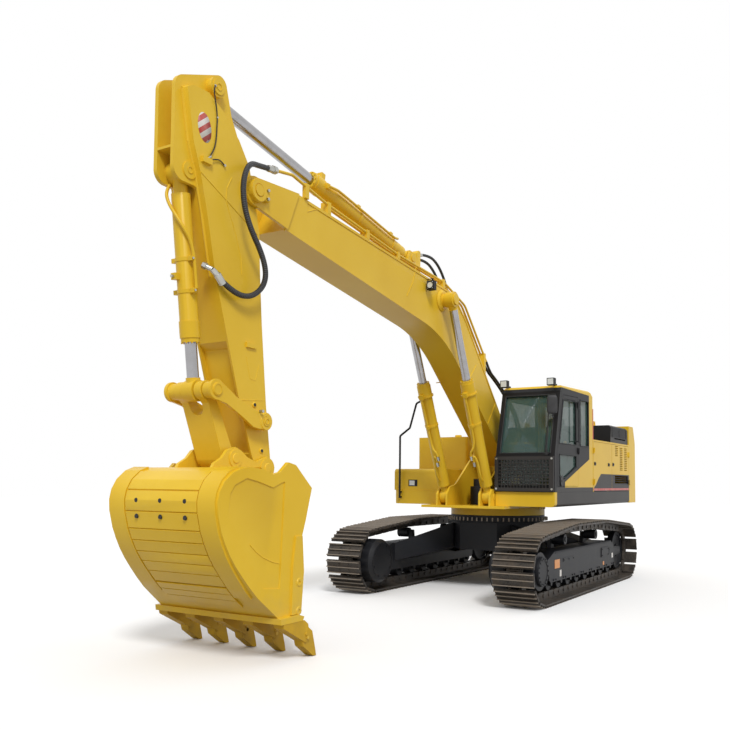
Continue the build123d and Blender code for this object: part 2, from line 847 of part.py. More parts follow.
# Cranked rocker links either side of the stick, with stubs that reach the bucket link
rocker_reach = math.dist(link_pin, rocker_pivot)
rocker_outline = placed(
    link_pin,
    rocker_pivot,
    (
        (0, 95),
        (140, 74),
        (290, 45),
        (rocker_reach - 110, 42),
        (rocker_reach, 84),
        (rocker_reach + 30, -70),
        (rocker_reach - 70, -110),
        (rocker_reach - 160, -128),
        (rocker_reach - 330, -100),
        (170, -72),
        (0, -95),
    ),
)
with BuildPart() as rocker_links:
    side_pair(rocker_outline, rocker_inner, rocker_outer)
    disc_pair(rocker_pivot, 92, rocker_inner, rocker_outer)
    disc_pair(link_pin, 98, rocker_inner, rocker_outer)
    disc_pair(link_pin, 62, rocker_outer, rocker_outer + pin_cap)
    disc_pair(link_pin, 80, link_outer + moving_clearance, rocker_inner)
    boss_bore(rocker_pivot, pin_radius)
finish(rocker_links.part, "rocker_links")

# Bucket link: a box that opens into a fork round the cylinder's eye
link_inner = bucket_cylinder[3] + fork_clearance
link_reach = math.dist(bucket_link_pivot, link_pin)
link_box = placed(
    bucket_link_pivot,
    link_pin,
    (
        (-20, 88),
        (30, 92),
        (link_reach - 120, 35),
        (link_reach, 90),
        (link_reach, -80),
        (150, -74),
        (-20, -76),
    ),
)
fork_depth = 235
fork_root = along(link_pin, bucket_link_pivot, fork_depth - link_inner)
with BuildPart() as bucket_link:
    side(link_box, -link_outer, link_outer)
    disc(bucket_link_pivot, 84, -link_outer, link_outer)
    disc_pair(link_pin, 92, link_inner, link_outer)
    boss_bore(bucket_link_pivot, pin_radius)
    side(
        placed(fork_root, link_pin, ((0, 300), (600, 300), (600, -300), (0, -300))),
        -link_inner,
        link_inner,
        Mode.SUBTRACT,
    )
    front_way = frame_of(bucket_link_pivot, link_pin)[1]
    bar_on(Plane(origin=(0, *fork_root), x_dir=(1, 0, 0), z_dir=(0, *front_way)), link_inner, -300, 300, Mode.SUBTRACT)
finish(bucket_link.part, "bucket_link")

# Bucket: shell bent round the back between tapered side plates, ears, lip and wear plates
bucket_outer = [
    (-6600, 392),
    (-6800, 420),
    (-7070, 640),
    (-7170, 742),
    (-7265, 850),
    (-7345, 948),
    (-7412, 1045),
    (-7470, 1150),
    (-7518, 1260),
    (-7560, 1420),
    (-7566, 1520),
    (-7545, 1610),
    (-7490, 1700),
    (-7392, 1780),
    (-7290, 1815),
    (-7180, 1830),
    (-7050, 1815),
]
shell_thickness = 36
bucket_rim_line = [
    (-7063, 1830),
    (-6906, 1768),
    (-6807, 1790),
    (-6700, 1885),
    (-6600, 1862),
    (-6370, 1640),
    (-6450, 1330),
    (-6540, 1050),
    (-6540, 850),
    (-6510, 392),
]
rim_contour = [
    (-7000, 720),
    (-7265, 1010),
    (-7400, 1260),
    (-7440, 1440),
    (-7425, 1590),
    (-7370, 1670),
    (-7230, 1730),
    (-7090, 1700),
    (-6900, 1645),
    (-6790, 1690),
    (-6745, 1700),
    (-6790, 700),
]
ear_outline = [
    (-7200, 1790),
    (-7150, 1868),
    (-7045, 1924),
    (-6975, 2000),
    (bucket_link_pivot[0], bucket_link_pivot[1] + 112),
    (-6777, 2000),
    (-6690, 1940),
    (-6560, 1895),
    (bucket_pivot[0], bucket_pivot[1] + 118),
    (bucket_pivot[0] + 118, bucket_pivot[1] + 10),
    (bucket_pivot[0] + 90, bucket_pivot[1] - 90),
    (-6480, 1640),
    (-6980, 1720),
]


def half_at(y):
    """Half width of the bucket over its side plates at a Y."""
    back, mouth = -7560, -6400
    return bucket_back_half + (bucket_mouth_half - bucket_back_half) * (y - back) / (mouth - back)


def tapered(points, inset, mode=Mode.ADD):
    """The whole width between the bucket's tapered sides, less an inset, cut to a (Y, Z) outline."""
    with BuildPart(mode=Mode.PRIVATE) as wedge:
        back, mouth = -7800, -6100
        plan(
            [
                (-half_at(back) + inset, back),
                (half_at(back) - inset, back),
                (half_at(mouth) - inset, mouth),
                (-half_at(mouth) + inset, mouth),
            ],
            200,
            2300,
        )
        side(points, -1000, 1000, Mode.INTERSECT)
    add(wedge.part, mode=mode)


def bend(points, distance):
    """A polyline moved to its left by a distance."""
    found = []
    for i, point in enumerate(points):
        before, after = points[max(i - 1, 0)], points[min(i + 1, len(points) - 1)]
        run, left = frame_of(before, after)
        found.append((point[0] + left[0] * distance, point[1] + left[1] * distance))
    return found


bucket_inner = bend(bucket_outer, -shell_thickness)
top_mouth = [(-7040, 1840), (-7040, 1740), (-6740, 1640), (-6380, 1590), (-6250, 1700), (-6500, 2000)]
cross_plate = [(-7050, 1815), (-7060, 1775), (-6760, 1650), (-6420, 1600), (-6400, 1636), (-6740, 1690)]
heel_marks = (3, 4, 5, 6, 7, 8, 9, 11, 13)
heel_half = 455
heel_thickness = 16
with BuildPart() as bucket:
    tapered(bucket_outer + bucket_rim_line, 0)
    tapered(bucket_inner + [(-6900, 1700), (-6300, 1700), (-6200, 360)], bucket_side_plate, Mode.SUBTRACT)
    tapered(top_mouth, bucket_side_plate, Mode.SUBTRACT)
    tapered(cross_plate, bucket_side_plate - 1)
    with BuildPart(mode=Mode.PRIVATE) as rim:
        tapered(bucket_outer + bucket_rim_line, -bucket_rim)
        tapered(bucket_outer + bucket_rim_line, 2, Mode.SUBTRACT)
        side(rim_contour, -1000, 1000, Mode.SUBTRACT)
    add(rim.part)
    for i, j in zip(heel_marks, heel_marks[1:]):
        strip = bucket_outer[i : j + 1]
        raised = bend(strip, heel_thickness)
        raised = [along(raised[0], raised[1], 5)] + raised[1:-1] + [along(raised[-1], raised[-2], 5)]
        side(bend(strip, -8) + list(reversed(raised)), -heel_half, heel_half)
    band = bucket_outer[2:15]
    for hand in (-1, 1):
        edges = sorted((hand * (heel_half + 14), hand * (bucket_back_half - 10)))
        side(bend(band, -8) + list(reversed(bend(band, heel_thickness + 4))), *edges)
    side_pair(ear_outline, bucket_ear_inner, bucket_ear_outer)
    disc_pair(bucket_pivot, 104, bucket_ear_outer, bucket_ear_outer + ear_boss)
    disc_pair(bucket_link_pivot, 88, bucket_ear_outer, bucket_ear_outer + ear_boss)
    disc_pair(bucket_link_pivot, 58, link_outer + moving_clearance, bucket_ear_inner)
    for pin in (bucket_pivot, bucket_link_pivot):
        disc(pin, pin_radius, -bucket_ear_outer - 9, bucket_ear_outer + ear_boss)
    side([(-6500, 372), (-6826, 372), (-6834, 428), (-6560, 436), (-6480, 410)], -bucket_lip_half, bucket_lip_half)
    for hand in (-1, 1):
        cutter = sorted((hand * (half_at(-6560) - 4), hand * (half_at(-6560) + 24)))
        side([(-6650, 440), (-6505, 440), (-6470, 840), (-6500, 1180), (-6600, 1180), (-6640, 900)], *cutter)
finish(bucket.part, "bucket")

# Teeth: an adapter that clips the lip and a pointed cap on it, five in a row
tooth_count = 5
tooth_half = 52
adapter_half = 62
adapter_profile = [
    (-6790, 371.7),
    (-6780, 330),
    (-6560, 215),
    (-6440, 150),
    (-6385, 190),
    (-6410, 330),
    (-6468, 371.7),
]
cap_profile = [(-6470, 120), (-6310, 6), (-6262, 4), (-6275, 60), (-6330, 250), (-6400, 300), (-6500, 215)]
with BuildPart() as bucket_teeth:
    spacing = 2 * (bucket_lip_half - adapter_half - 4) / (tooth_count - 1)
    for i in range(tooth_count):
        middle = (i - (tooth_count - 1) / 2) * spacing
        side(adapter_profile, middle - adapter_half, middle + adapter_half)
        side(cap_profile, middle - tooth_half, middle + tooth_half)
        disc((-6440, 235), 16, middle - adapter_half - 10, middle + adapter_half + 10)
finish(bucket_teeth.part, "bucket_teeth")


def cylinder_axis(foot, eye, x_middle):
    """Plane at the foot pin with its normal towards the eye and its x axis along X."""
    return Plane(origin=(x_middle, *foot), x_dir=(1, 0, 0), z_dir=(0, eye[0] - foot[0], eye[1] - foot[1]))


def barrel(foot, eye, x_middle, sizes, length):
    """Cylinder barrel with its foot eye, gland and the bore the rod slides in."""
    barrel_radius, rod_radius, eye_radius, eye_half = sizes
    axis = cylinder_axis(foot, eye, x_middle)
    bar_on(axis, eye_half - 2, eye_radius * 0.5, barrel_start + 10)
    bar_on(axis, barrel_radius, barrel_start, length)
    bar_on(axis, barrel_radius + gland_step, length - gland_length - 40, length - 40)
    disc(foot, eye_radius, x_middle - eye_half, x_middle + eye_half)
    bar_on(axis, rod_radius + pin_clearance, barrel_start + barrel_bottom, length + 10, Mode.SUBTRACT)
    disc(foot, pin_radius + pin_clearance, x_middle - 200, x_middle + 200, Mode.SUBTRACT)


def rod(foot, eye, x_middle, sizes, inside_start):
    """Chrome rod with a solid eye at its end."""
    barrel_radius, rod_radius, eye_radius, eye_half = sizes
    axis = cylinder_axis(foot, eye, x_middle)
    length = math.dist(foot, eye)
    bar_on(axis, rod_radius, inside_start, length - eye_radius * 0.5)
    bar_on(axis, eye_half - 1, length - eye_radius - collar_length, length - eye_radius * 0.5)
    disc(eye, eye_radius, x_middle - eye_half, x_middle + eye_half)


boom_barrel_length = 1910
boom_rod_start = 1315
arm_rod_start = 1760
bucket_rod_start = 495
with BuildPart() as boom_barrel:
    barrel(boom_cylinder_foot, boom_cylinder_eye, cylinder_x, boom_cylinder, boom_barrel_length)
both_sides(boom_barrel.part, "boom_cylinder_barrel")
with BuildPart() as boom_rod:
    rod(boom_cylinder_foot, boom_cylinder_eye, cylinder_x, boom_cylinder, boom_rod_start)
    cap_face = cylinder_x + boom_cylinder[3]
    disc(boom_cylinder_eye, 80, cap_face, cap_face + 22)
both_sides(boom_rod.part, "boom_cylinder_rod")

arm_barrel_length = 2280
with BuildPart() as arm_barrel:
    barrel(arm_cylinder_foot, arm_cylinder_eye, 0, arm_cylinder, arm_barrel_length)
finish(arm_barrel.part, "arm_cylinder_barrel")
with BuildPart() as arm_rod:
    rod(arm_cylinder_foot, arm_cylinder_eye, 0, arm_cylinder, arm_rod_start)
finish(arm_rod.part, "arm_cylinder_rod")

bucket_barrel_length = 1600
with BuildPart() as bucket_barrel:
    barrel(bucket_cylinder_foot, link_pin, 0, bucket_cylinder, bucket_barrel_length)
finish(bucket_barrel.part, "bucket_cylinder_barrel")
with BuildPart() as bucket_rod:
    rod(bucket_cylinder_foot, link_pin, 0, bucket_cylinder, bucket_rod_start)
finish(bucket_rod.part, "bucket_cylinder_rod")

# Decks beside the turntable frame
with BuildPart() as deck_left:
    block((deck_inner, half_width), (deck_front, counterweight_front), (deck_floor, deck_top))
    soft_edges = deck_left.edges().filter_by(Axis.Y).group_by(Axis.Z)[0].sort_by(Axis.X)[-1:]
    fillet(soft_edges, radius=60)
finish(deck_left.part, "deck_left")
deck_setback = 130
with BuildPart() as deck_right:
    block((-half_width, -deck_inner), (deck_front + deck_setback, counterweight_front), (deck_floor, deck_top))
    front_corner = deck_right.edges().filter_by(Axis.Z).group_by(Axis.Y)[0].sort_by(Axis.X)[:1]
    fillet(front_corner, radius=140)
finish(deck_right.part, "deck_right")

# Counterweight: round tail, sloped top edge, two lifting lugs
tail_slope_top = tail_radius - 490
tail_slope_low = tail_radius - 330
slope_height = 360
tail_corner = 110
lift_eye = (counterweight_front + 150, counterweight_top + 70)
lift_lug_profile = [
    (lift_eye[0] - 110, counterweight_top - 5),
    (lift_eye[0] - 60, lift_eye[1] + 60),
    (lift_eye[0] + 60, lift_eye[1] + 60),
    (lift_eye[0] + 110, counterweight_top - 5),
]
with BuildPart() as counterweight:
    with BuildSketch(Plane.XY.offset(deck_floor)) as tail_plan:
        Circle(tail_radius)
        with Locations((0, counterweight_front + tail_radius / 2)):
            Rectangle(2 * half_width, tail_radius, mode=Mode.INTERSECT)
        fillet(tail_plan.vertices().group_by(Axis.Y)[-1], radius=tail_corner)
    extrude(amount=counterweight_top - deck_floor)
    side(
        [
            (tail_slope_top, counterweight_top + 10),
            (tail_slope_low, counterweight_top - slope_height),
            (tail_radius + 200, counterweight_top - slope_height),
            (tail_radius + 200, counterweight_top + 10),
        ],
        -half_width,
        half_width,
        Mode.SUBTRACT,
    )
    for hand in (-1, 1):
        lug_low, lug_high = hand * lift_lug_x - lift_lug_thickness / 2, hand * lift_lug_x + lift_lug_thickness / 2
        side(lift_lug_profile, lug_low, lug_high)
        disc(lift_eye, lift_eye_radius, lug_low - 5, lug_high + 5, Mode.SUBTRACT)
finish(counterweight.part, "counterweight")

# Toolbox and tank on the right
toolbox_top = 1930
toolbox_rear = -210
tank_front = -200
tank_rear = 1180
tank_top = 2500
with BuildPart() as toolbox_right:
    block((-half_width + 20, -deck_inner), (deck_front + 150, toolbox_rear), (deck_top, toolbox_top))
    fillet(toolbox_right.edges().filter_by(Axis.X).group_by(Axis.Z)[-1].sort_by(Axis.Y)[:1], radius=60)
finish(toolbox_right.part, "toolbox_right")
with BuildPart() as tanks_right:
    block((-half_width, -deck_inner), (tank_front, tank_rear), (deck_top, tank_top))
    fillet(tanks_right.edges().filter_by(Axis.Z), radius=50)
finish(tanks_right.part, "tanks_right")

# Cab: outline from the side, front leaning back
cab_side = [
    (cab_front, cab_floor),
    (cab_front, cab_knee),
    cab_brow,
    (-850, cab_roof),
    (520, cab_roof + roof_rise),
    (cab_back, cab_roof - 40),
    (cab_back, cab_floor),
]
front_depth = 75
front_strip = [
    (cab_front, cab_floor),
    (cab_front, cab_knee),
    cab_brow,
    (cab_brow[0] + front_depth, cab_brow[1]),
    (cab_front + front_depth, cab_knee),
    (cab_front + front_depth, cab_floor),
]
cab_room = [
    (cab_front + front_depth, cab_floor + cab_wall),
    (cab_front + front_depth, cab_knee),
    (cab_brow[0] + front_depth, cab_brow[1] + 20),
    (500, cab_roof - 30),
    (cab_back - cab_wall, cab_roof - 100),
    (cab_back - cab_wall, cab_floor + cab_wall),
]
door_rear = -104
door_bottom = 1668
door_top = cab_roof - 125
waist_low, waist_high = 2150, 2320
door_front_low = (cab_front + 124, cab_knee + 20)
door_front_high = (cab_brow[0] + 128, door_top - 22)
door_outline = [
    (cab_front + 124, door_bottom),
    door_front_low,
    door_front_high,
    (door_rear, door_top),
    (door_rear, door_bottom),
]
door_opening = [
    (cab_front + 124 - door_gap, door_bottom - door_gap),
    (door_front_low[0] - door_gap, door_front_low[1]),
    (door_front_high[0] - door_gap, door_front_high[1] + door_gap),
    (door_rear + door_gap, door_top + door_gap),
    (door_rear + door_gap, door_bottom - door_gap),
]
window_top = door_top - 65
right_window = [(-900, waist_high), (-720, window_top - 20), (480, window_top), (480, waist_high)]
quarter_window = [(10, waist_high), (10, window_top + 40), (455, window_top + 50), (455, waist_high)]
rear_window = ((cab_right + 120, cab_left - 120), (waist_high + 30, window_top))
cab_hinge_y = door_rear + 3
cab_hinge_heights = (2240, door_top - 120)
with BuildPart() as cab_shell:
    side(cab_side, cab_right, cab_left)
    side(cab_room, cab_right + cab_wall, cab_left - cab_wall, Mode.SUBTRACT)
    side(front_strip, cab_right, cab_left, Mode.SUBTRACT)
    side(door_opening, cab_left - 80, cab_left + 10, Mode.SUBTRACT)
    side(quarter_window, cab_left - 80, cab_left + 10, Mode.SUBTRACT)
    side(right_window, cab_right - 10, cab_right + 80, Mode.SUBTRACT)
    block(rear_window[0], (cab_back - 80, cab_back + 10), rear_window[1], Mode.SUBTRACT)
    roof_ends = cab_shell.edges().filter_by(Axis.Y, tolerance=4).group_by(Axis.Z)[-1]
    chamfer(roof_ends, length=24)
    hinge_pins(cab_left + hinge_offset, cab_hinge_y, cab_hinge_heights, cab_hinge_y + hinge_reach, 1)
finish(cab_shell.part, "cab_shell")
front_window_x = (cab_right + 70, cab_left - 70)
guard_floor = deck_top + 10
front_windows = ((cab_knee + 45, cab_brow[1] - 60), (cab_floor + 90, cab_knee - 45))
with BuildPart() as cab_front_frame:
    side(front_strip, cab_right, cab_left)
    for z_range in front_windows:
        block(front_window_x, (cab_front - 100, cab_brow[0] + 240), z_range, Mode.SUBTRACT)
finish(cab_front_frame.part, "cab_front_frame")


def front_pane(z_low, z_high):
    """Front glass between two heights, parallel to the leaning frame."""
    lean = (cab_brow[0] - cab_front) / (cab_brow[1] - cab_knee)
    found = []
    for z, depth in ((z_low, 0), (z_high, 0), (z_high, pane_thickness), (z_low, pane_thickness)):
        base = cab_front + lean * max(0, z - cab_knee)
        found.append((base + pane_depth + depth, z))
    return found


with BuildPart() as cab_glass:
    for z_low, z_high in front_windows:
        side(front_pane(z_low, z_high), *front_window_x)
    side(right_window, cab_right + 20, cab_right + 20 + pane_thickness)
    side(quarter_window, cab_left - 20 - pane_thickness, cab_left - 20)
    block(rear_window[0], (cab_back - 20 - pane_thickness, cab_back - 20), rear_window[1])
finish(cab_glass.part, "cab_glass")

upper_window = [
    (door_front_low[0] + 60, waist_high),
    (door_front_high[0] + 50, door_top - 75),
    (door_rear - 90, door_top - 60),
    (door_rear - 90, waist_high),
]
lower_window = [
    (cab_front + 200, door_bottom + 132),
    (cab_front + 200, waist_low),
    (door_rear - 75, waist_low),
    (door_rear - 75, 1990),
    (-790, door_bottom + 102),
]
grip_height = (waist_high + 30, door_top - 60)
with BuildPart() as cab_door:
    side(door_outline, cab_left - door_thickness, cab_left)
    side(upper_window, cab_left - door_thickness - 5, cab_left + 5, Mode.SUBTRACT)
    side(lower_window, cab_left - door_thickness - 5, cab_left + 5, Mode.SUBTRACT)
    hinge_knuckles(cab_left + hinge_offset, cab_hinge_y, cab_hinge_heights, cab_hinge_y - hinge_reach, 1)
finish(cab_door.part, "cab_door")
with BuildPart() as door_glass:
    for window in (upper_window, lower_window):
        side(window, cab_left - 18 - pane_thickness, cab_left - 18)
finish(door_glass.part, "cab_door_glass")

# Stone guard over the lower front window: a frame with a mesh of crossed bars
guard_back = cab_front - guard_gap
guard_x = (cab_right, cab_left - 2)
guard_z = (guard_floor, guard_floor + guard_height)
mesh_x = (guard_x[0] + 60, guard_x[1] - 75)
mesh_z = (guard_z[0] + 52, guard_z[1] - 54)
with BuildPart() as front_guard:
    with BuildSketch(Plane.XZ.offset(-guard_back)) as guard_sheet:
        with Locations((sum(guard_x) / 2, sum(guard_z) / 2)):
            Rectangle(guard_x[1] - guard_x[0], guard_height)
        cell_x = (mesh_x[1] - mesh_x[0] + guard_bar) / guard_mesh[0]
        cell_z = (mesh_z[1] - mesh_z[0] + guard_bar) / guard_mesh[1]
        with Locations((sum(mesh_x) / 2, sum(mesh_z) / 2)):
            with GridLocations(cell_x, cell_z, *guard_mesh):
                Rectangle(cell_x - guard_bar, cell_z - guard_bar, mode=Mode.SUBTRACT)
    extrude(amount=guard_thickness)
    for x in (guard_x[0] + 22, guard_x[1] - 40):
        for z in (guard_z[0] + 52, guard_z[1] - 35):
            with BuildSketch(Plane.XZ.offset(-guard_back)) as boss:
                with Locations((x, z)):
                    Circle(18)
            extrude(boss.sketch, amount=-guard_gap)
finish(front_guard.part, "front_guard")

# Seat and control stands inside the cab
cab_middle = (cab_right + cab_left) / 2
cab_inside = cab_floor + cab_wall
with BuildPart() as operator_seat:
    block((cab_middle - 250, cab_middle + 250), (-330, 180), (cab_floor + 430, cab_floor + 570))
    block((cab_middle - 240, cab_middle + 240), (160, 290), (cab_floor + 560, cab_floor + 1230))
    block((cab_middle - 150, cab_middle + 150), (-200, 120), (cab_inside, cab_floor + 430))
finish(operator_seat.part, "operator_seat")
with BuildPart() as control_console:
    for hand in (-1, 1):
        middle = cab_middle + hand * 330
        side(
            [
                (-345, cab_inside),
                (-350, cab_floor + 590),
                (-320, cab_floor + 640),
                (200, cab_floor + 620),
                (250, cab_floor + 540),
                (250, cab_inside),
            ],
            middle - 62,
            middle + 62,
        )
        upright(middle, -300, 16, cab_floor + 620, cab_floor + 800)
        upright(middle, -300, 26, cab_floor + 740, cab_floor + 800)
finish(control_console.part, "control_console")

# Engine house: top, firewall and posts, with doors on both sides and a lid above
door_hinge_heights = (1750, 2280)
house_mid = 1190
wall = 90
front_hinge_y = house_front + 33
rear_hinge_y = counterweight_front - 48
lid_hinge_x = -700
lid_hinge_z = house_top + 18
lid_hinge_places = (2150, 2650)
lid_left = half_width - 20
opening_x = (lid_hinge_x + 60, half_width - 60)
opening_y = (lid_front + 30, counterweight_front - 40)


def level_pins(x, z, places, reach):
    """Hinge pins along Y with a foot on the sheet below."""
    for y in places:
        near, far = y - knuckle_half_height - 20, y - knuckle_half_height - 2
        for low, high, radius in ((near, far, knuckle_radius - 1), (near, y + knuckle_half_height, hinge_pin_radius)):
            with BuildSketch(Plane.XZ.offset(-high)) as face:
                with Locations((x, z)):
                    Circle(radius)
            extrude(face.sketch, amount=high - low)
        block((x - reach, x + knuckle_radius - 2), (near, far), (house_top - 5, z))


def level_knuckles(x, z, places, reach):
    """The lid's knuckles round those pins, each on a strap under the lid's rim."""
    for y in places:
        low, high = y - knuckle_half_height, y + knuckle_half_height
        for radius, grow, mode in ((knuckle_radius, 0, Mode.ADD), (hinge_pin_radius + pin_clearance, 5, Mode.SUBTRACT)):
            if mode == Mode.SUBTRACT:
                block((x + 4, x + reach), (low, high), (z - 5, z + 11))
            with BuildSketch(Plane.XZ.offset(-high - grow)) as face:
                with Locations((x, z)):
                    Circle(radius)
            extrude(face.sketch, amount=high - low + 2 * grow, mode=mode)


with BuildPart() as engine_house:
    block((-half_width, half_width), (house_mid, counterweight_front), (house_top - panel_thickness, house_top))
    block((cab_right, half_width), (house_front, house_mid), (house_top - panel_thickness, house_top))
    block(opening_x, opening_y, (house_top - 60, house_top + 40), Mode.SUBTRACT)
    block((cab_right, half_width), (house_front, house_front + panel_thickness), (deck_top, house_top))
    for hand in (-1, 1):
        post = sorted((hand * (half_width - wall), hand * half_width))
        block(post, (counterweight_front - 45, counterweight_front), (deck_top, house_top))
    block((-half_width, -half_width + wall), (house_mid, house_mid + 40), (deck_top, house_top))
    split_post = (half_width - wall, half_width - panel_thickness - 5)
    block(split_post, (door_split - 40, door_split + 40), (deck_top, house_top))
    block((cab_right, cab_right + panel_thickness), (house_front, house_mid), (deck_top, house_top))
    hinge_pins(half_width + hinge_offset, front_hinge_y, door_hinge_heights, front_hinge_y - hinge_reach, 1)
    hinge_pins(half_width + hinge_offset, rear_hinge_y, door_hinge_heights, rear_hinge_y + hinge_reach, 1)
    hinge_pins(-half_width - hinge_offset, rear_hinge_y, door_hinge_heights, rear_hinge_y + hinge_reach, -1)
    level_pins(lid_hinge_x, lid_hinge_z, lid_hinge_places, 30)
finish(engine_house.part, "engine_house")

with BuildPart() as engine_block:
    block((-deck_inner + 6, deck_inner - 6), (1850, 2850), (plate_top, 2300))
finish(engine_block.part, "engine_block")

door_low = deck_top + door_gap
door_high = house_top - panel_thickness - door_gap
louvre_columns = (
    # Y, Z of the lowest slot, slots
    (2130, 2230, 7),
    (2440, 1970, 13),
    (2750, 1970, 13),
)
louvre_size = (190, 14)
louvre_pitch = 34
grille_y = (2010, 2890)
grille_z = (1715, 1860)
grille_bars = 4


def slots(x_low, x_high, y, z_low, count, size):
    """A column of level slots through a side panel."""
    with BuildSketch(Plane.YZ.offset(x_low)) as face:
        with Locations((y, z_low + (count - 1) * louvre_pitch / 2)):
            with GridLocations(1, louvre_pitch, 1, count):
                Rectangle(*size)
    extrude(face.sketch, amount=x_high - x_low, mode=Mode.SUBTRACT)


with BuildPart() as service_door_front:
    block((half_width - panel_thickness, half_width), (house_front + 36, door_split - 4), (door_low, door_high))
    hinge_knuckles(half_width + hinge_offset, front_hinge_y, door_hinge_heights, front_hinge_y + hinge_reach, 1)
finish(service_door_front.part, "service_door_front_left")
with BuildPart() as service_door_rear:
    block((half_width - panel_thickness, half_width), (door_split + 4, counterweight_front - 51), (door_low, door_high))
    for y, z, count in louvre_columns:
        slots(half_width - panel_thickness - 2, half_width + 2, y, z, count, louvre_size)
    bar_step = (grille_z[1] - grille_z[0]) / grille_bars
    for i in range(grille_bars):
        low = grille_z[0] + i * bar_step
        opening = (low + 4, low + bar_step - 4)
        block((half_width - panel_thickness - 2, half_width + 2), grille_y, opening, Mode.SUBTRACT)
    hinge_knuckles(half_width + hinge_offset, rear_hinge_y, door_hinge_heights, rear_hinge_y - hinge_reach, 1)
finish(service_door_rear.part, "service_door_rear_left")
with BuildPart() as service_door_right:
    block((-half_width, -half_width + panel_thickness), (house_mid + 46, counterweight_front - 51), (door_low, door_high))
    for y, z, count in louvre_columns:
        slots(-half_width - 2, -half_width + panel_thickness + 2, y, z, count, louvre_size)
    hinge_knuckles(-half_width - hinge_offset, rear_hinge_y, door_hinge_heights, rear_hinge_y - hinge_reach, -1)
finish(service_door_right.part, "service_door_right")

# Dark lid over the engine: a hollow hood with a side grille, on knuckles along its right edge
lid_right = lid_hinge_x + knuckle_radius + 6
lid_floor = house_top + face_clearance
lid_skin = 30
lid_slope = 55
lid_profile = [
    (lid_front, lid_floor),
    (lid_front + lid_slope, lid_top),
    (counterweight_front - 30, lid_top),
    (counterweight_front - 10, lid_floor),
]
lid_room = [
    (lid_front + lid_skin, lid_floor - 10),
    (lid_front + lid_slope + lid_skin, lid_top - lid_skin),
    (counterweight_front - 30 - lid_skin, lid_top - lid_skin),
    (counterweight_front - 10 - lid_skin, lid_floor - 10),
]
with BuildPart() as hood_lid:
    side(lid_profile, lid_right, lid_left)
    chamfer(hood_lid.edges().filter_by(Axis.Y, tolerance=2).group_by(Axis.Z)[-1], length=40)
    side(lid_room, lid_right + lid_skin, lid_left - lid_skin, Mode.SUBTRACT)
    with BuildSketch(Plane.YZ.offset(lid_left - lid_skin - 5)) as lid_grille:
        with Locations((2440, 2615)):
            with GridLocations(250, 36, 3, 5):
                Rectangle(230, 24)
    extrude(lid_grille.sketch, amount=lid_skin + 10, mode=Mode.SUBTRACT)
    level_knuckles(lid_hinge_x, lid_hinge_z, lid_hinge_places, knuckle_radius + 12)
finish(hood_lid.part, "hood_lid")

exhaust_x = half_width - 447
with BuildPart() as exhaust_pipe:
    upright(exhaust_x, 1250, 65, house_top, house_top + 480)
    upright(exhaust_x, 1250, 52, house_top + 480, house_top + 560)
    upright(exhaust_x, 1250, 44, house_top + 300, house_top + 570, Mode.SUBTRACT)
finish(exhaust_pipe.part, "exhaust_pipe")

# Hand rail on the right front corner
rail_radius = 17
rail_x = 160 - half_width
rail_y = deck_front + deck_setback - 45
with BuildPart() as handrails:
    with BuildLine() as rail_line:
        FilletPolyline(
            (rail_x, rail_y, deck_floor + 90),
            (rail_x, rail_y, 2480),
            (rail_x + 110, rail_y + 135, 2620),
            (rail_x + 190, rail_y + 215, 3040),
            (rail_x + 340, rail_y + 255, 3120),
            (rail_x + 390, rail_y + 255, 2960),
            radius=50,
        )
    with BuildSketch(Plane(origin=rail_line.line @ 0, z_dir=rail_line.line % 0)):
        RegularPolygon(rail_radius, 10)
    sweep()
    for z in (deck_floor + 120, deck_top - 20):
        block((rail_x - 20, rail_x + 20), (rail_y, deck_front + deck_setback), (z - 20, z))
finish(handrails.part, "handrails")

# Work lamps on the cab roof: housings on short stems, open in front for the lens
lamp_y = (-1050, -960)
lamp_half = 60
lamp_z = (cab_roof - 14, cab_roof + 100)
lamp_places = (cab_right + 68, cab_left - 117)
lamp_rim = 10
lamp_depth = 14
stem_radius = 14
stem_end = -780
stem_floor = cab_roof + roof_rise * (stem_end + 850) / 1370 + 0.3
with BuildPart() as lamps:
    for x in lamp_places:
        block((x - lamp_half, x + lamp_half), lamp_y, lamp_z)
        lens = (x - lamp_half + lamp_rim, x + lamp_half - lamp_rim)
        block(lens, (lamp_y[0] - 1, lamp_y[0] + lamp_depth), (lamp_z[0] + lamp_rim, lamp_z[1] - lamp_rim), Mode.SUBTRACT)
        block((x - stem_radius, x + stem_radius), (lamp_y[1] - 5, stem_end), (stem_floor, stem_floor + 28))
finish(lamps.part, "roof_lamps")

with BuildPart() as swing_motor:
    upright(0, -680, 170, plate_top, plate_top + 300)
    upright(0, -680, 120, plate_top + 300, plate_top + 420)
finish(swing_motor.part, "swing_motor")


print("shoes", shoe_count, "pitch", round(track_length / shoe_count, 1))
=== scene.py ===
"""Crawler excavator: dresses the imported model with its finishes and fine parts.

Metres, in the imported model's frame: +Z up, the boom points to -Y, the cab stands on the +X side.
"""

import bmesh
import bpy
import json
import math
from bpy.props import FloatProperty, FloatVectorProperty, PointerProperty
from mathutils import Matrix, Vector

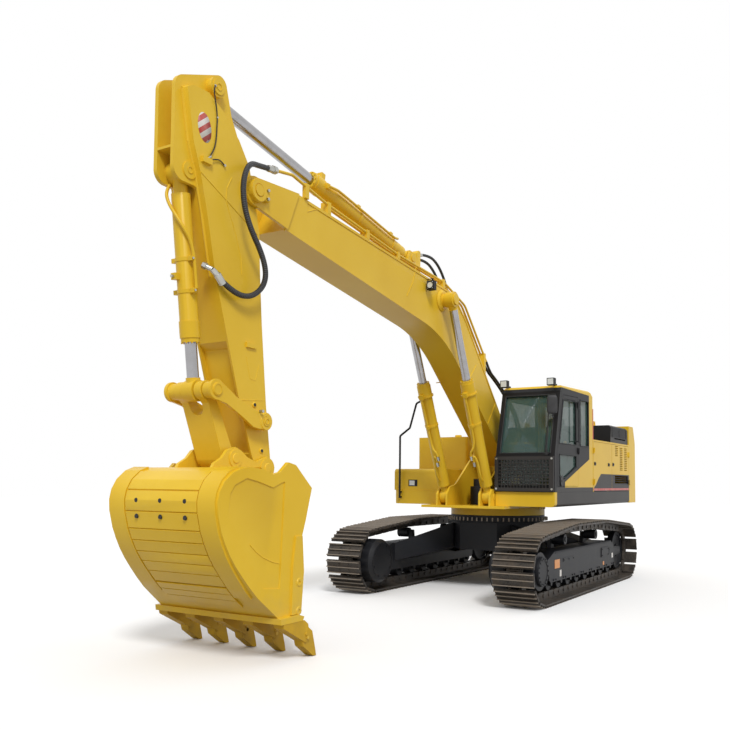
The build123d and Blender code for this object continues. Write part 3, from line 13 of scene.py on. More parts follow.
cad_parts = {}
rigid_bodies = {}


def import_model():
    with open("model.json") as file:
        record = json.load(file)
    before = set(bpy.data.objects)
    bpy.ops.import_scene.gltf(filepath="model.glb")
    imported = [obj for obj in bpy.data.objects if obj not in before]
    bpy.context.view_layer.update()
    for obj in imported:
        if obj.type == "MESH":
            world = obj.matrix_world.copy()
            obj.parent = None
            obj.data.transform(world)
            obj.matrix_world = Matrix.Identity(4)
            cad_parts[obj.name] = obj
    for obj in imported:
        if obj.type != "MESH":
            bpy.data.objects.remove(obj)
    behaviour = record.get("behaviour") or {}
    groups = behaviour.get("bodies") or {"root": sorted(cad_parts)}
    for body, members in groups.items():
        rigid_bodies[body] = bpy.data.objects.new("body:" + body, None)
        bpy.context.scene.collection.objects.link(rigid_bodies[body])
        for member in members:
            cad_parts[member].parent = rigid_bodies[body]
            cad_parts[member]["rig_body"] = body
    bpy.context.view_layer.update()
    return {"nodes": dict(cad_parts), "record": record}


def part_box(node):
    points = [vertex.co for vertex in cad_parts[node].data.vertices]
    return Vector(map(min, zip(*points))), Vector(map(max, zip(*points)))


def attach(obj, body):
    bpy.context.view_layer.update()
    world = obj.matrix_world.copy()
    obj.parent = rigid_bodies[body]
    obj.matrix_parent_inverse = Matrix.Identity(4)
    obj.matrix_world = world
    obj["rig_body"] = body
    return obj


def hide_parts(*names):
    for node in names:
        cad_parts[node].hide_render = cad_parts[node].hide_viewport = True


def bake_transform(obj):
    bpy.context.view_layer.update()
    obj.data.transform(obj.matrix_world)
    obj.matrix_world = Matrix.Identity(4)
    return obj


bl_info = {
    "name": "Crawler excavator",
    "version": (1, 0, 0),
    "blender": (4, 5, 0),
    "location": "3D View > Sidebar > Excavator",
    "description": "Builds the finishes and fine parts of a crawler excavator round its packed model",
    "category": "Add Mesh",
}

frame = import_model()
NODES = frame["nodes"]
SIDES = (("left", 1), ("right", -1))

# Pivots of the front equipment, (Y, Z)
BOOM_FOOT = (-0.05, 2.2)
BOOM_TIP = (-6.65, 4.64)
BOOM_CYLINDER = ((-1.2, 1.49), (-2.5, 4.34))
ARM_CYLINDER = ((-3.18, 4.82), (-7.17, 5.51))
BUCKET_CYLINDER = ((-7.45, 4.605), (-7.19, 2.56))
ROCKER_PIVOT = (-6.475, 2.305)
LINK_PIN = (-7.19, 2.56)
LINK_FOOT = (-6.863, 1.921)
BUCKET_PIVOT = (-6.385, 1.835)
CYLINDER_X = 0.37
TRACK_X = 1.37
SPROCKET = (-2.18, 0.5)
IDLER = (2.18, 0.5)
HALF_WIDTH = 1.447


# Node trees


def linear(code):
    """An sRGB hex colour as linear RGBA."""
    values = [int(code[i : i + 2], 16) / 255 for i in (1, 3, 5)]
    return tuple(v / 12.92 if v <= 0.04045 else ((v + 0.055) / 1.055) ** 2.4 for v in values) + (1.0,)


def add(tree, kind, settings=None, **links):
    """A node with its settings; each link names an input and gives a value or a socket."""
    made = tree.nodes.new(kind)
    for key, value in (settings or {}).items():
        setattr(made, key, value)
    for key, value in links.items():
        socket = made.inputs[int(key[1:])] if key[0] == "i" and key[1:].isdigit() else made.inputs[key.replace("_", " ")]
        if isinstance(value, bpy.types.NodeSocket):
            tree.links.new(value, socket)
        else:
            socket.default_value = value
    return made


def start_material(name, **settings):
    """An empty node material with its shader, and Object coordinates to read."""
    material = bpy.data.materials.new(name)
    material.use_nodes = True
    tree = material.node_tree
    tree.nodes.clear()
    shader = add(tree, "ShaderNodeBsdfPrincipled", **settings)
    add(tree, "ShaderNodeOutputMaterial", Surface=shader.outputs[0])
    where = add(tree, "ShaderNodeTexCoord").outputs["Object"]
    return material, tree, shader, where


def mix(tree, share, low, high):
    """Colour between two hex codes or sockets."""
    made = add(tree, "ShaderNodeMix", {"data_type": "RGBA"}, i0=share)
    for index, value in ((6, low), (7, high)):
        if isinstance(value, str):
            made.inputs[index].default_value = linear(value)
        else:
            tree.links.new(value, made.inputs[index])
    return made.outputs[2]


def span(tree, value, low, high, to_low=0.0, to_high=1.0):
    """A value mapped from one range to another and clamped."""
    return add(tree, "ShaderNodeMapRange", Value=value, From_Min=low, From_Max=high, To_Min=to_low, To_Max=to_high).outputs[0]


def noise(tree, where, scale, detail=3.0, rough=0.55):
    return add(tree, "ShaderNodeTexNoise", Vector=where, Scale=scale, Detail=detail, Roughness=rough).outputs["Fac"]


def bump(tree, shader, height, strength, distance):
    made = add(tree, "ShaderNodeBump", Height=height, Strength=strength, Distance=distance)
    tree.links.new(made.outputs[0], shader.inputs["Normal"])


def enamel(name, base, low, high, roughness=0.36, dust="#9A8F78", coat=0.08):
    """Sprayed and baked machine enamel: slight orange peel, colour drift between panels, dust low down."""
    material, tree, shader, where = start_material(
        name, Roughness=roughness, IOR=1.34, Coat_Weight=coat, Coat_Roughness=0.2
    )
    drift = span(tree, noise(tree, where, 0.9, 2.0), 0.3, 0.7)
    colour = mix(tree, drift, low, high)
    fine = span(tree, noise(tree, where, 14.0, 4.0), 0.42, 0.62)
    colour = mix(tree, span(tree, fine, 0, 1, 0, 0.3), colour, base)
    height = add(tree, "ShaderNodeSeparateXYZ", Vector=where).outputs["Z"]
    low_down = span(tree, height, 0.9, 0.05, 0.0, 0.35)
    patch = add(
        tree,
        "ShaderNodeMath",
        {"operation": "MULTIPLY"},
        i0=low_down,
        i1=span(tree, noise(tree, where, 5.0), 0.4, 0.7),
    ).outputs[0]
    tree.links.new(mix(tree, patch, colour, dust), shader.inputs["Base Color"])
    # Orange peel is about 2 mm across; drawn at 12 mm so that it shows
    bump(tree, shader, noise(tree, where, 80.0, 2.0), 0.05, 0.002)
    return material


def moulded(name, code, roughness, scale=420.0, depth=0.12):
    """Moulded plastic or rubber: one colour in the mass, fine spark-eroded grain."""
    material, tree, shader, where = start_material(name, Roughness=roughness, IOR=1.53)
    shade_of = span(tree, noise(tree, where, 7.0, 3.0), 0.35, 0.7, 0.0, 0.35)
    tree.links.new(mix(tree, shade_of, code, "#3A3A3C"), shader.inputs["Base Color"])
    # Grain is about 0.4 mm; drawn at 2.5 mm so that it shows
    bump(tree, shader, noise(tree, where, scale, 2.0), depth, 0.0008)
    return material


def bare_metal(name, code, roughness, grain, depth, metallic=1.0):
    """Plated or ground metal with a fine directionless grain and slight dulling."""
    material, tree, shader, where = start_material(name, Metallic=metallic)
    dull = noise(tree, where, 9.0, 4.0)
    tree.links.new(mix(tree, span(tree, dull, 0.4, 0.7, 0.0, 0.4), code, "#8E8C88"), shader.inputs["Base Color"])
    tree.links.new(span(tree, dull, 0.35, 0.7, roughness, roughness + 0.12), shader.inputs["Roughness"])
    bump(tree, shader, noise(tree, where, grain, 2.0), depth, 0.0005)
    return material


def film(name, code):
    """Printed vinyl film: flat colour with a low sheen and slight fading."""
    material, tree, shader, where = start_material(name, Roughness=0.4, IOR=1.5)
    fade = span(tree, noise(tree, where, 11.0, 3.0), 0.35, 0.7, 0.0, 0.18)
    tree.links.new(mix(tree, fade, code, "#E6DDD4"), shader.inputs["Base Color"])
    return material


def build_materials():
    """Every finish, by the slot it belongs to."""
    found = {}
    found["yellow_paint"] = enamel("baked_yellow_enamel", "#E4BC2A", "#DFB522", "#EAC437", 0.4)
    found["dark_paint"] = enamel("sprayed_black_chassis_enamel", "#17181C", "#131418", "#1C1E23", 0.5, "#37332E", 0.0)
    found["charcoal_paint"] = enamel("sprayed_charcoal_enamel", "#353332", "#302E2D", "#3B3938", 0.5, "#4A463F", 0.0)
    found["cab_black"] = enamel("sprayed_satin_black_enamel", "#0D0C0F", "#0A0A0C", "#121115", 0.5, "#2B2824", 0.0)
    found["tooth_steel"] = enamel("painted_cast_tooth_steel", "#CDA324", "#BF951F", "#D8AE2B", 0.55, "#5E5346", 0.0)

    # Rolled shoe bars: mill scale gone brown, dusty, pale where the ground rubs the bars
    material, tree, shader, where = start_material("rolled_boron_steel", Metallic=0.35, Roughness=0.55)
    rust = span(tree, noise(tree, where, 6.0, 5.0), 0.42, 0.66)
    grain = noise(tree, where, 60.0, 4.0)
    colour = mix(tree, rust, "#35322F", "#4E463E")
    tree.links.new(
        mix(tree, span(tree, grain, 0.45, 0.7, 0, 0.4), colour, "#655A4E"), shader.inputs["Base Color"]
    )
    tree.links.new(span(tree, rust, 0, 1, 0.45, 0.65), shader.inputs["Roughness"])
    bump(tree, shader, grain, 0.2, 0.003)
    found["track_steel"] = material

    # Grouser tips, rubbed bright by the ground
    found["worn_steel"] = bare_metal("ground_worn_grouser_steel", "#8C8072", 0.42, 90.0, 0.15, 0.6)
    found["chrome"] = bare_metal("ground_hard_chrome", "#A7A6A8", 0.16, 240.0, 0.02)
    found["zinc"] = bare_metal("zinc_plated_fastener_steel", "#B9B9B4", 0.32, 200.0, 0.05)

    material, tree, shader, where = start_material("green_tinted_float_glass", Roughness=0.03, IOR=1.52)
    tint = span(tree, noise(tree, where, 1.4, 1.0), 0.3, 0.7)
    tree.links.new(mix(tree, tint, "#47605A", "#52706A"), shader.inputs["Base Color"])
    shader.inputs["Alpha"].default_value = 0.5
    found["tinted_glass"] = material

    # Pressed lens glass, fluted every 8 mm so that the beam spreads
    material, tree, shader, where = start_material("pressed_lamp_lens_glass", Roughness=0.08, IOR=1.5)
    flutes = add(tree, "ShaderNodeTexWave", {"bands_direction": "X"}, Vector=where, Scale=20.0, Distortion=0.0).outputs["Fac"]
    # Colour follows the flutes in lighter and darker bands: painted highlight and painted shade from the light the
    # flutes bend.
    tree.links.new(mix(tree, flutes, "#C9D0D0", "#E9EEEE"), shader.inputs["Base Color"])
    bump(tree, shader, flutes, 0.4, 0.002)
    found["lens"] = material

    material, tree, shader, where = start_material(
        "silvered_mirror_glass", Metallic=1.0, Roughness=0.02, Base_Color=linear("#D9DEDF")
    )
    found["mirror"] = material

    found["black_plastic"] = moulded("grained_black_abs", "#17171A", 0.55)
    found["rubber"] = moulded("extruded_black_rubber_seal", "#101012", 0.7, 250.0, 0.08)
    found["red_film"] = film("red_reflective_vinyl", "#B8332B")
    found["white_film"] = film("white_reflective_vinyl", "#DAD7D2")
    found["orange_film"] = film("orange_reflector_vinyl", "#D9851C")

    # Wire-braid hose in a ribbed nylon sleeve, one rib every 20 mm along its length
    material, tree, shader, where = start_material("ribbed_nylon_hose_sleeve", Roughness=0.5, IOR=1.5)
    along = add(tree, "ShaderNodeUVMap", {"uv_map": "along"}).outputs["UV"]
    ribs = add(
        tree, "ShaderNodeTexWave", {"bands_direction": "X"}, Vector=along, Scale=15.7, Distortion=0.0
    ).outputs["Fac"]
    # Rib crests are coloured lighter and the valleys darker: painted highlight on the crests and painted shade in the
    # valleys.
    tree.links.new(mix(tree, ribs, "#0E0E10", "#37373A"), shader.inputs["Base Color"])
    bump(tree, shader, ribs, 0.9, 0.006)
    found["rubber_hose"] = material

    # Plain wrapped rubber cover, with the faint cloth print of its curing wrap
    material, tree, shader, where = start_material("wrapped_rubber_hose_cover", Roughness=0.6, IOR=1.5)
    print_of = noise(tree, where, 150.0, 2.0)
    tree.links.new(mix(tree, print_of, "#0F0F11", "#222225"), shader.inputs["Base Color"])
    bump(tree, shader, print_of, 0.2, 0.001)
    found["plain_hose"] = material

    # Woven seat cloth, threads 1 mm apart; drawn at 6 mm so that they show
    material, tree, shader, where = start_material("woven_seat_cloth", Roughness=0.9, Sheen_Weight=0.3)
    weave = add(tree, "ShaderNodeTexChecker", Vector=where, Scale=160.0).outputs["Fac"]
    tree.links.new(mix(tree, weave, "#4B4F53", "#62676B"), shader.inputs["Base Color"])
    bump(tree, shader, weave, 0.3, 0.001)
    found["seat_fabric"] = material
    return found


# Shapes


def block(bm, low, high):
    """A rectangular block between two corners."""
    made = bmesh.ops.create_cube(bm, size=1.0)["verts"]
    low, high = Vector(low), Vector(high)
    bmesh.ops.scale(bm, vec=high - low, verts=made)
    bmesh.ops.translate(bm, vec=(low + high) / 2, verts=made)
    return made


def rod(bm, start, end, radius, end_radius=None, segments=20):
    """A round bar between two points."""
    start, end = Vector(start), Vector(end)
    along = end - start
    turn = along.to_track_quat("Z", "Y").to_matrix().to_4x4()
    return bmesh.ops.create_cone(
        bm,
        cap_ends=True,
        cap_tris=False,
        segments=segments,
        radius1=radius,
        radius2=radius if end_radius is None else end_radius,
        depth=along.length,
        matrix=Matrix.Translation((start + end) / 2) @ turn,
    )["verts"]


def ring(bm, centre, axis, profile, segments=40):
    """A closed profile of (radius, offset along the axis) spun once round."""
    verts = [bm.verts.new((radius, 0, offset)) for radius, offset in profile]
    edges = [bm.edges.new((a, b)) for a, b in zip(verts, verts[1:] + verts[:1])]
    before = set(bm.verts)
    bmesh.ops.spin(
        bm,
        geom=verts + edges,
        cent=(0, 0, 0),
        axis=(0, 0, 1),
        dvec=(0, 0, 0),
        angle=math.tau,
        steps=segments,
        use_merge=True,
        use_duplicate=False,
    )
    made = [v for v in bm.verts if v not in before] + [v for v in verts if v.is_valid]
    turn = Vector(axis).to_track_quat("Z", "Y").to_matrix().to_4x4()
    bmesh.ops.transform(bm, matrix=Matrix.Translation(Vector(centre)) @ turn, verts=made)
    return made


def plate(bm, outline, low, high):
    """A flat (Y, Z) outline given thickness between two X."""
    verts = [bm.verts.new((low, y, z)) for y, z in outline]
    face = bm.faces.new(verts)
    top = bmesh.ops.extrude_face_region(bm, geom=[face])["geom"]
    bmesh.ops.translate(bm, vec=(high - low, 0, 0), verts=[v for v in top if isinstance(v, bmesh.types.BMVert)])
    return verts


def seam(bm, places, radius=0.007, segments=8):
    """A weld bead or edge strip along a run of points, half sunk in its plate."""
    for start, end in zip(places, places[1:]):
        rod(bm, start, end, radius, segments=segments)


def on_side(x, outline):
    return [(x, y, z) for y, z in outline]


def bolts(bm, places, axis, radius=0.014, height=0.012):
    """Hexagon bolt heads standing on a face."""
    axis = Vector(axis)
    for place in places:
        rod(bm, place, Vector(place) + axis * height, radius, segments=6)


def round_places(centre, axis, radius, count, turn=0.0):
    """Points evenly round a circle."""
    frame_of = Vector(axis).to_track_quat("Z", "Y").to_matrix()
    found = []
    for index in range(count):
        angle = turn + math.tau * index / count
        found.append(Vector(centre) + frame_of @ Vector((radius * math.cos(angle), radius * math.sin(angle), 0)))
    return found


def spline_of(name, points, radius=0.0):
    """A smooth curve through a route's control points, as a mesh line or tube."""
    curve = bpy.data.curves.new(name, "CURVE")
    curve.dimensions = "3D"
    curve.resolution_u = 12
    curve.bevel_depth = radius
    curve.bevel_resolution = 4
    curve.use_fill_caps = True
    spline = curve.splines.new("NURBS")
    spline.points.add(len(points) - 1)
    for made, place in zip(spline.points, points):
        made.co = (*place, 1)
    spline.order_u = 3
    spline.use_endpoint_u = True
    holder = bpy.data.objects.new(name, curve)
    bpy.context.scene.collection.objects.link(holder)
    bpy.context.view_layer.update()
    depsgraph = bpy.context.evaluated_depsgraph_get()
    mesh = bpy.data.meshes.new_from_object(holder.evaluated_get(depsgraph))
    bpy.data.objects.remove(holder)
    bpy.data.curves.remove(curve)
    return mesh


def run(path, place):
    """How far along a line of points a place lies, in metres."""
    done, best, found = 0.0, 1e9, 0.0
    for start, end in zip(path, path[1:]):
        step = end - start
        share = max(0.0, min(1.0, (place - start).dot(step) / step.length_squared))
        away = (start + step * share - place).length
        if away < best:
            best, found = away, done + step.length * share
        done += step.length
    return found


def tube(name, points, radius, body, finish_name):
    """A bent hard pipe along a smooth route."""
    mesh = spline_of(name, points, radius)
    return settle(name, mesh, body, finish_name)


def settle(name, mesh, body, finish_name):
    """A mesh made a piece with its finish, riding on a body."""
    piece = bpy.data.objects.new(name, mesh)
    bpy.context.scene.collection.objects.link(piece)
    mesh.materials.clear()
    mesh.materials.append(FINISHES[finish_name])
    mesh.polygons.foreach_set("use_smooth", [True] * len(mesh.polygons))
    mesh.set_sharp_from_angle(angle=math.radians(50))
    if body:
        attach(piece, body)
    return piece


def hose(name, points, radius, body=None, bend=None, finish_name="plain_hose"):
    """A hydraulic hose on its route: it rides on one body, or on none when a bend is given."""
    path = [v.co.copy() for v in spline_of(name + "_line", points).vertices]
    mesh = spline_of(name + "_tube", points, radius)
    if finish_name == "rubber_hose":
        layer = mesh.uv_layers.new(name="along")
        places = [run(path, v.co) for v in mesh.vertices]
        for loop in mesh.loops:
            layer.data[loop.index].uv = (places[loop.vertex_index], 0.0)
    piece = settle(name + "_tube", mesh, body, finish_name)
    if bend:
        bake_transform(piece)
    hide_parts(name)
    return piece


def finish(name, bm, body, finish_name, bevel=0.0, smooth=35.0):
    """A finished piece from a bmesh: materials, soft edges, and the body it rides on."""
    mesh = bpy.data.meshes.new(name)
    bmesh.ops.remove_doubles(bm, verts=bm.verts, dist=1e-5)
    bmesh.ops.recalc_face_normals(bm, faces=bm.faces)
    bm.to_mesh(mesh)
    bm.free()
    piece = bpy.data.objects.new(name, mesh)
    bpy.context.scene.collection.objects.link(piece)
    names = (finish_name,) if isinstance(finish_name, str) else finish_name
    for item in names:
        mesh.materials.append(FINISHES[item])
    shade(piece, bevel, smooth)
    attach(piece, body)
    return piece


def shade(piece, bevel, smooth):
    """Smooth shading up to an angle, and a small bevel on the sharper edges."""
    mesh = piece.data
    mesh.polygons.foreach_set("use_smooth", [True] * len(mesh.polygons))
    mesh.set_sharp_from_angle(angle=math.radians(smooth))
    if bevel:
        made = piece.modifiers.new("soft_edges", "BEVEL")
        made.width = bevel
        made.segments = 2
        made.limit_method = "ANGLE"
        made.angle_limit = math.radians(smooth)
        made.harden_normals = True
        made.use_clamp_overlap = True


def dress(node, bevel=0.004, smooth=32.0, finish_name=None, cuts=(), zones=()):
    """A clean copy of a CAD node with soft edges, which stands for the node.

    cuts are planes that part its faces, and zones are (finish, test) pairs over a face's centre and normal.
    """
    source = NODES[node]
    bm = bmesh.new()
    bm.from_mesh(source.data)
    bmesh.ops.remove_doubles(bm, verts=bm.verts, dist=2e-5)
    bmesh.ops.dissolve_limit(bm, angle_limit=math.radians(0.6), verts=bm.verts, edges=bm.edges)
    for place, normal in cuts:
        bmesh.ops.bisect_plane(
            bm,
            geom=bm.verts[:] + bm.edges[:] + bm.faces[:],
            dist=1e-5,
            plane_co=place,
            plane_no=normal,
        )
    for index, (_, test) in enumerate(zones, 1):
        for face in bm.faces:
            if test(face.calc_center_median(), face.normal):
                face.material_index = index
    first = finish_name or SLOT_OF[node]
    names = (first,) + tuple(zone[0] for zone in zones)
    piece = finish(f"{node}_skin", bm, source["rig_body"], names, bevel, smooth)
    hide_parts(node)
    return piece


def camera_and_stage(settings):
    """Camera at the photo's place, pale floor and plain studio light."""
    scene = bpy.context.scene
    yaw, pitch, roll = (math.radians(v) for v in (settings.yaw, settings.pitch, settings.roll))
    forward = Vector((-math.sin(yaw) * math.cos(pitch), math.cos(yaw) * math.cos(pitch), math.sin(pitch)))
    across = Vector((math.cos(yaw), math.sin(yaw), 0))
    up = across.cross(forward)
    right = across * math.cos(roll) + up * math.sin(roll)
    top = up * math.cos(roll) - across * math.sin(roll)
    data = bpy.data.cameras.new("camera")
    data.lens = settings.lens
    data.shift_x = settings.shift[0]
    data.shift_y = settings.shift[1]
    camera = bpy.data.objects.new("camera", data)
    scene.collection.objects.link(camera)
    turn = Matrix((right, top, -forward)).transposed().to_4x4()
    camera.matrix_world = Matrix.Translation(settings.camera_place) @ turn
    scene.camera = camera

    bm = bmesh.new()
    bmesh.ops.create_grid(bm, x_segments=1, y_segments=1, size=60.0)
    mesh = bpy.data.meshes.new("floor")
    bm.to_mesh(mesh)
    bm.free()
    floor = bpy.data.objects.new("floor", mesh)
    scene.collection.objects.link(floor)
    material, tree, shader, where = start_material("matt_studio_floor", Roughness=1.0)
    shader.inputs["Specular IOR Level"].default_value = 0.0
    seen = direct_view(tree)
    tree.links.new(mix(tree, seen, "#A19B90", "#FFFFFF"), shader.inputs["Base Color"])
    mesh.materials.append(material)

    world = bpy.data.worlds.new("studio")
    scene.world = world
    world.use_nodes = True
    tree = world.node_tree
    tree.nodes.clear()
    strength = span(tree, direct_view(tree), 0, 1, settings.sky, 1.0)
    surface = add(tree, "ShaderNodeBackground", Color=linear("#FFFFFF"), Strength=strength)
    add(tree, "ShaderNodeOutputWorld", Surface=surface.outputs[0])

    lamp_data = bpy.data.lights.new("key_light", "SUN")
    lamp_data.energy = settings.key
    lamp_data.angle = math.radians(14)
    lamp = bpy.data.objects.new("key_light", lamp_data)
    scene.collection.objects.link(lamp)
    lamp.rotation_mode = "QUATERNION"
    lamp.rotation_quaternion = (-Vector(settings.key_from)).to_track_quat("-Z", "Y")
    scene.view_settings.view_transform = "Standard"


def direct_view(tree):
    """1 where the camera sees a surface itself or in a mirror or through glass."""
    path = add(tree, "ShaderNodeLightPath")
    seen = path.outputs["Is Camera Ray"]
    for name in ("Is Glossy Ray", "Is Transmission Ray"):
        seen = add(tree, "ShaderNodeMath", {"operation": "MAXIMUM"}, i0=seen, i1=path.outputs[name]).outputs[0]
    return seen


class StageSettings(bpy.types.PropertyGroup):
    """Camera and light."""

    camera_place: FloatVectorProperty(name="Camera place", description="Where the camera stands", default=(5.593, -12.784, 1.707), subtype="TRANSLATION", unit="LENGTH")
    yaw: FloatProperty(name="Yaw", description="Camera's turn from +Y towards -X, in degrees", default=31.09)
    pitch: FloatProperty(name="Pitch", description="Camera's upward tilt, in degrees", default=3.73)
    roll: FloatProperty(name="Roll", description="Camera's roll, in degrees", default=0.52)
    lens: FloatProperty(name="Lens", description="Focal length", default=39.79, unit="CAMERA")
    shift: FloatVectorProperty(name="Shift", description="Lens shift across and up", default=(-0.0373, 0.0882), size=2)
    sky: FloatProperty(name="Sky", description="Strength of the studio's soft light", default=0.68, min=0.0)
    key: FloatProperty(name="Key light", description="Strength of the key light", default=1.8, min=0.0)
    key_from: FloatVectorProperty(
        name="Key direction", description="Where the key light comes from", default=(0.66, -0.76, 1.0), subtype="XYZ"
    )


class EXCAVATOR_OT_stage(bpy.types.Operator):
    """Camera, floor and studio light"""

    bl_idname = "excavator.stage"
    bl_label = "Stage"

    def execute(self, context):
        camera_and_stage(context.scene.excavator_stage)
        return {"FINISHED"}


# Hoses: control points of each route

STICK_HOSE = (
    (0.250, -6.4003, 4.94995), (0.250, -6.575, 4.9217), (0.332, -6.860, 4.850), (0.368, -6.985, 4.560),
    (0.362, -6.900, 4.250), (0.345, -6.600, 3.930), (0.328, -6.550, 3.700), (0.300, -6.730, 3.520),
    (0.272, -6.970, 3.520), (0.250, -7.140, 3.630),
)
KNEE_HOSE_1 = (
    (0.035, -2.8848, 4.950), (0.035, -2.600, 5.020), (0.035, -2.290, 4.960), (0.035, -2.010, 4.700),
    (0.035, -1.930, 4.480),
)
KNEE_HOSE_2 = (
    (-0.045, -2.8858, 4.905), (-0.045, -2.600, 4.960), (-0.045, -2.310, 4.900), (-0.045, -2.045, 4.665),
    (-0.045, -1.960, 4.450),
)
REAR_HOSE_1 = (
    (0.150, -0.9298, 3.6648), (0.150, -0.790, 3.530), (0.150, -0.560, 3.440), (0.150, -0.220, 3.280),
    (0.150, 0.120, 3.080), (0.150, 0.430, 2.820), (0.150, 0.600, 2.430), (0.150, 0.640, 2.010),
    (0.150, 0.655, 1.650), (0.150, 0.655, 1.3503),
)
REAR_HOSE_2 = (
    (0.204, -0.9298, 3.6648), (0.204, -0.790, 3.508), (0.204, -0.560, 3.424), (0.204, -0.220, 3.250),
    (0.204, 0.120, 3.066), (0.204, 0.430, 2.800), (0.204, 0.600, 2.420), (0.204, 0.640, 2.010),
    (0.204, 0.655, 1.650), (0.204, 0.655, 1.3503),
)


class HoseSettings(bpy.types.PropertyGroup):
    """Hose sizes."""

    big: FloatProperty(name="Stick hose", description="Outside diameter of the stick's hose", default=0.056, unit="LENGTH")
    small: FloatProperty(name="Boom hoses", description="Outside diameter of the boom's hoses", default=0.040, unit="LENGTH")


class EXCAVATOR_OT_hoses(bpy.types.Operator):
    """Hydraulic hoses on the boom and stick"""

    bl_idname = "excavator.hoses"
    bl_label = "Hoses"

    def execute(self, context):
        sizes = context.scene.excavator_hoses
        hose("stick_hose", STICK_HOSE, sizes.big / 2, bend=("boom", "stick", STICK_HOSE[1], STICK_HOSE[-2]), finish_name="rubber_hose")
        hose("knee_hose_1", KNEE_HOSE_1, sizes.small / 2, body="boom")
        hose("knee_hose_2", KNEE_HOSE_2, sizes.small / 2, body="boom")
        hose("rear_hose_1", REAR_HOSE_1, sizes.small / 2, bend=("boom", "upper", REAR_HOSE_1[1], REAR_HOSE_1[-2]))
        hose("rear_hose_2", REAR_HOSE_2, sizes.small / 2, bend=("boom", "upper", REAR_HOSE_2[1], REAR_HOSE_2[-2]))
        return {"FINISHED"}


# Two-colour panels


def cab_line(y):
    """Height of the slanting edge between the cab's black and yellow."""
    return 1.731 + (y + 0.735) * 0.3128


def grey_line(y):
    """Height of the grey flash on the engine house's side."""
    points = ((0.74, 1.64), (0.86, 1.70), (1.00, 1.80), (1.15, 1.88), (3.0, 1.88))
    for (y1, z1), (y2, z2) in zip(points, points[1:]):
        if y1 <= y <= y2:
            return z1 + (z2 - z1) * (y - y1) / (y2 - y1)
    return 0.0


SLANT = ((0, -0.735, 1.731), (0, -0.3128, 1.0))
CAB_CUTS = [SLANT, ((0, 0, 3.185), (0, 0, 1)), ((0, 0.49, 0), (0, 1, 0)), ((0, -0.735, 0), (0, 1, 0)), ((0, 0, 1.647), (0, 0, 1))]
HOUSE_CUTS = [
    ((0, 0, 1.592), (0, 0, 1)),
    ((0, 0, 1.63), (0, 0, 1)),
    ((0, 0.74, 0), (0, 1, 0)),
    ((0, 0.86, 0), (0, 1, 0)),
    ((0, 1.0, 0), (0, 1, 0)),
    ((0, 1.15, 0), (0, 1, 0)),
    ((0, 0.74, 1.64), (0, -0.5, 1)),
    ((0, 0.86, 1.70), (0, -0.714, 1)),
    ((0, 1.0, 1.80), (0, -0.533, 1)),
    ((0, 0, 1.88), (0, 0, 1)),
    ((0, 1.99, 0), (0, 1, 0)),
    ((0, 2.91, 0), (0, 1, 0)),
    ((0, 0, 1.70), (0, 0, 1)),
    ((0, 0, 1.872), (0, 0, 1)),
]


def outer_left(centre, normal):
    return centre.x > 1.4 and normal.x > 0.5


HOUSE_ZONES = (
    ("charcoal_paint", lambda c, n: outer_left(c, n) and c.z < grey_line(c.y)),
    ("red_film", lambda c, n: outer_left(c, n) and 1.592 < c.z < 1.63),
    ("cab_black", lambda c, n: c.x > 1.38 and 1.99 < c.y < 2.91 and 1.70 < c.z < 1.872),
)
CAB_ZONES = (
    ("cab_black", lambda c, n: 3.185 > c.z > cab_line(c.y) and c.y < 0.49 or 1.647 < c.z < 3.185 and c.y < -0.735),
    ("charcoal_paint", lambda c, n: c.z < 1.647),
)
BOOM_EYE = {
    "cuts": [((0, -2.438, 4.203), (0, -0.415, 0.91))],
    "zones": (("yellow_paint", lambda c, n: (c.y + 2.438) * -0.415 + (c.z - 4.203) * 0.91 > 0),),
}
DRESSING = {
    "cab_shell": {"cuts": CAB_CUTS, "zones": CAB_ZONES},
    "cab_front_frame": {"finish_name": "cab_black"},
    "cab_door": {
        "finish_name": "cab_black",
        "cuts": [SLANT, ((0, -0.735, 0), (0, 1, 0))],
        "zones": (("yellow_paint", lambda c, n: c.y > -0.735 and c.z < cab_line(c.y)),),
    },
    "deck_left": {
        "cuts": [((0, -1.10, 0), (0, 1, 0))],
        "zones": (("yellow_paint", lambda c, n: c.y < -1.10),),
    },
    "engine_house": {"cuts": HOUSE_CUTS, "zones": HOUSE_ZONES},
    "service_door_front_left": {"cuts": HOUSE_CUTS, "zones": HOUSE_ZONES},
    "service_door_rear_left": {"cuts": HOUSE_CUTS, "zones": HOUSE_ZONES},
    "hood_lid": {
        "zones": (("cab_black", lambda c, n: n.y < -0.5),),
    },
    "roof_lamps": {"finish_name": "cab_black"},
    "exhaust_pipe": {"finish_name": "dark_paint"},
    "handrails": {"finish_name": "cab_black"},
    "boom_cylinder_rod_left": BOOM_EYE,
    "boom_cylinder_rod_right": BOOM_EYE,
    "arm_cylinder_rod": {
        "cuts": [((0, -7.022, 5.484), (0, -0.985, 0.17))],
        "zones": (("yellow_paint", lambda c, n: c.y < -7.022),),
    },
    "bucket_cylinder_rod": {
        "cuts": [((0, -7.205, 2.68), (0, -0.126, 1.0))],
        "zones": (("yellow_paint", lambda c, n: c.z < 2.68),),
    },
}


# Fine parts


def start():
    return bmesh.new()


class EXCAVATOR_OT_skins(bpy.types.Operator):
    """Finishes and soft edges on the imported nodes"""

    bl_idname = "excavator.skins"
    bl_label = "Skins"

    def execute(self, context):
        for node in NODES:
            if node in PLAIN_NODES:
                paint(node)
            elif node not in OWN_NODES:
                dress(node, **DRESSING.get(node, {}))
        return {"FINISHED"}


PITCH_RADIUS = 0.385
SHOE_COUNT = 52


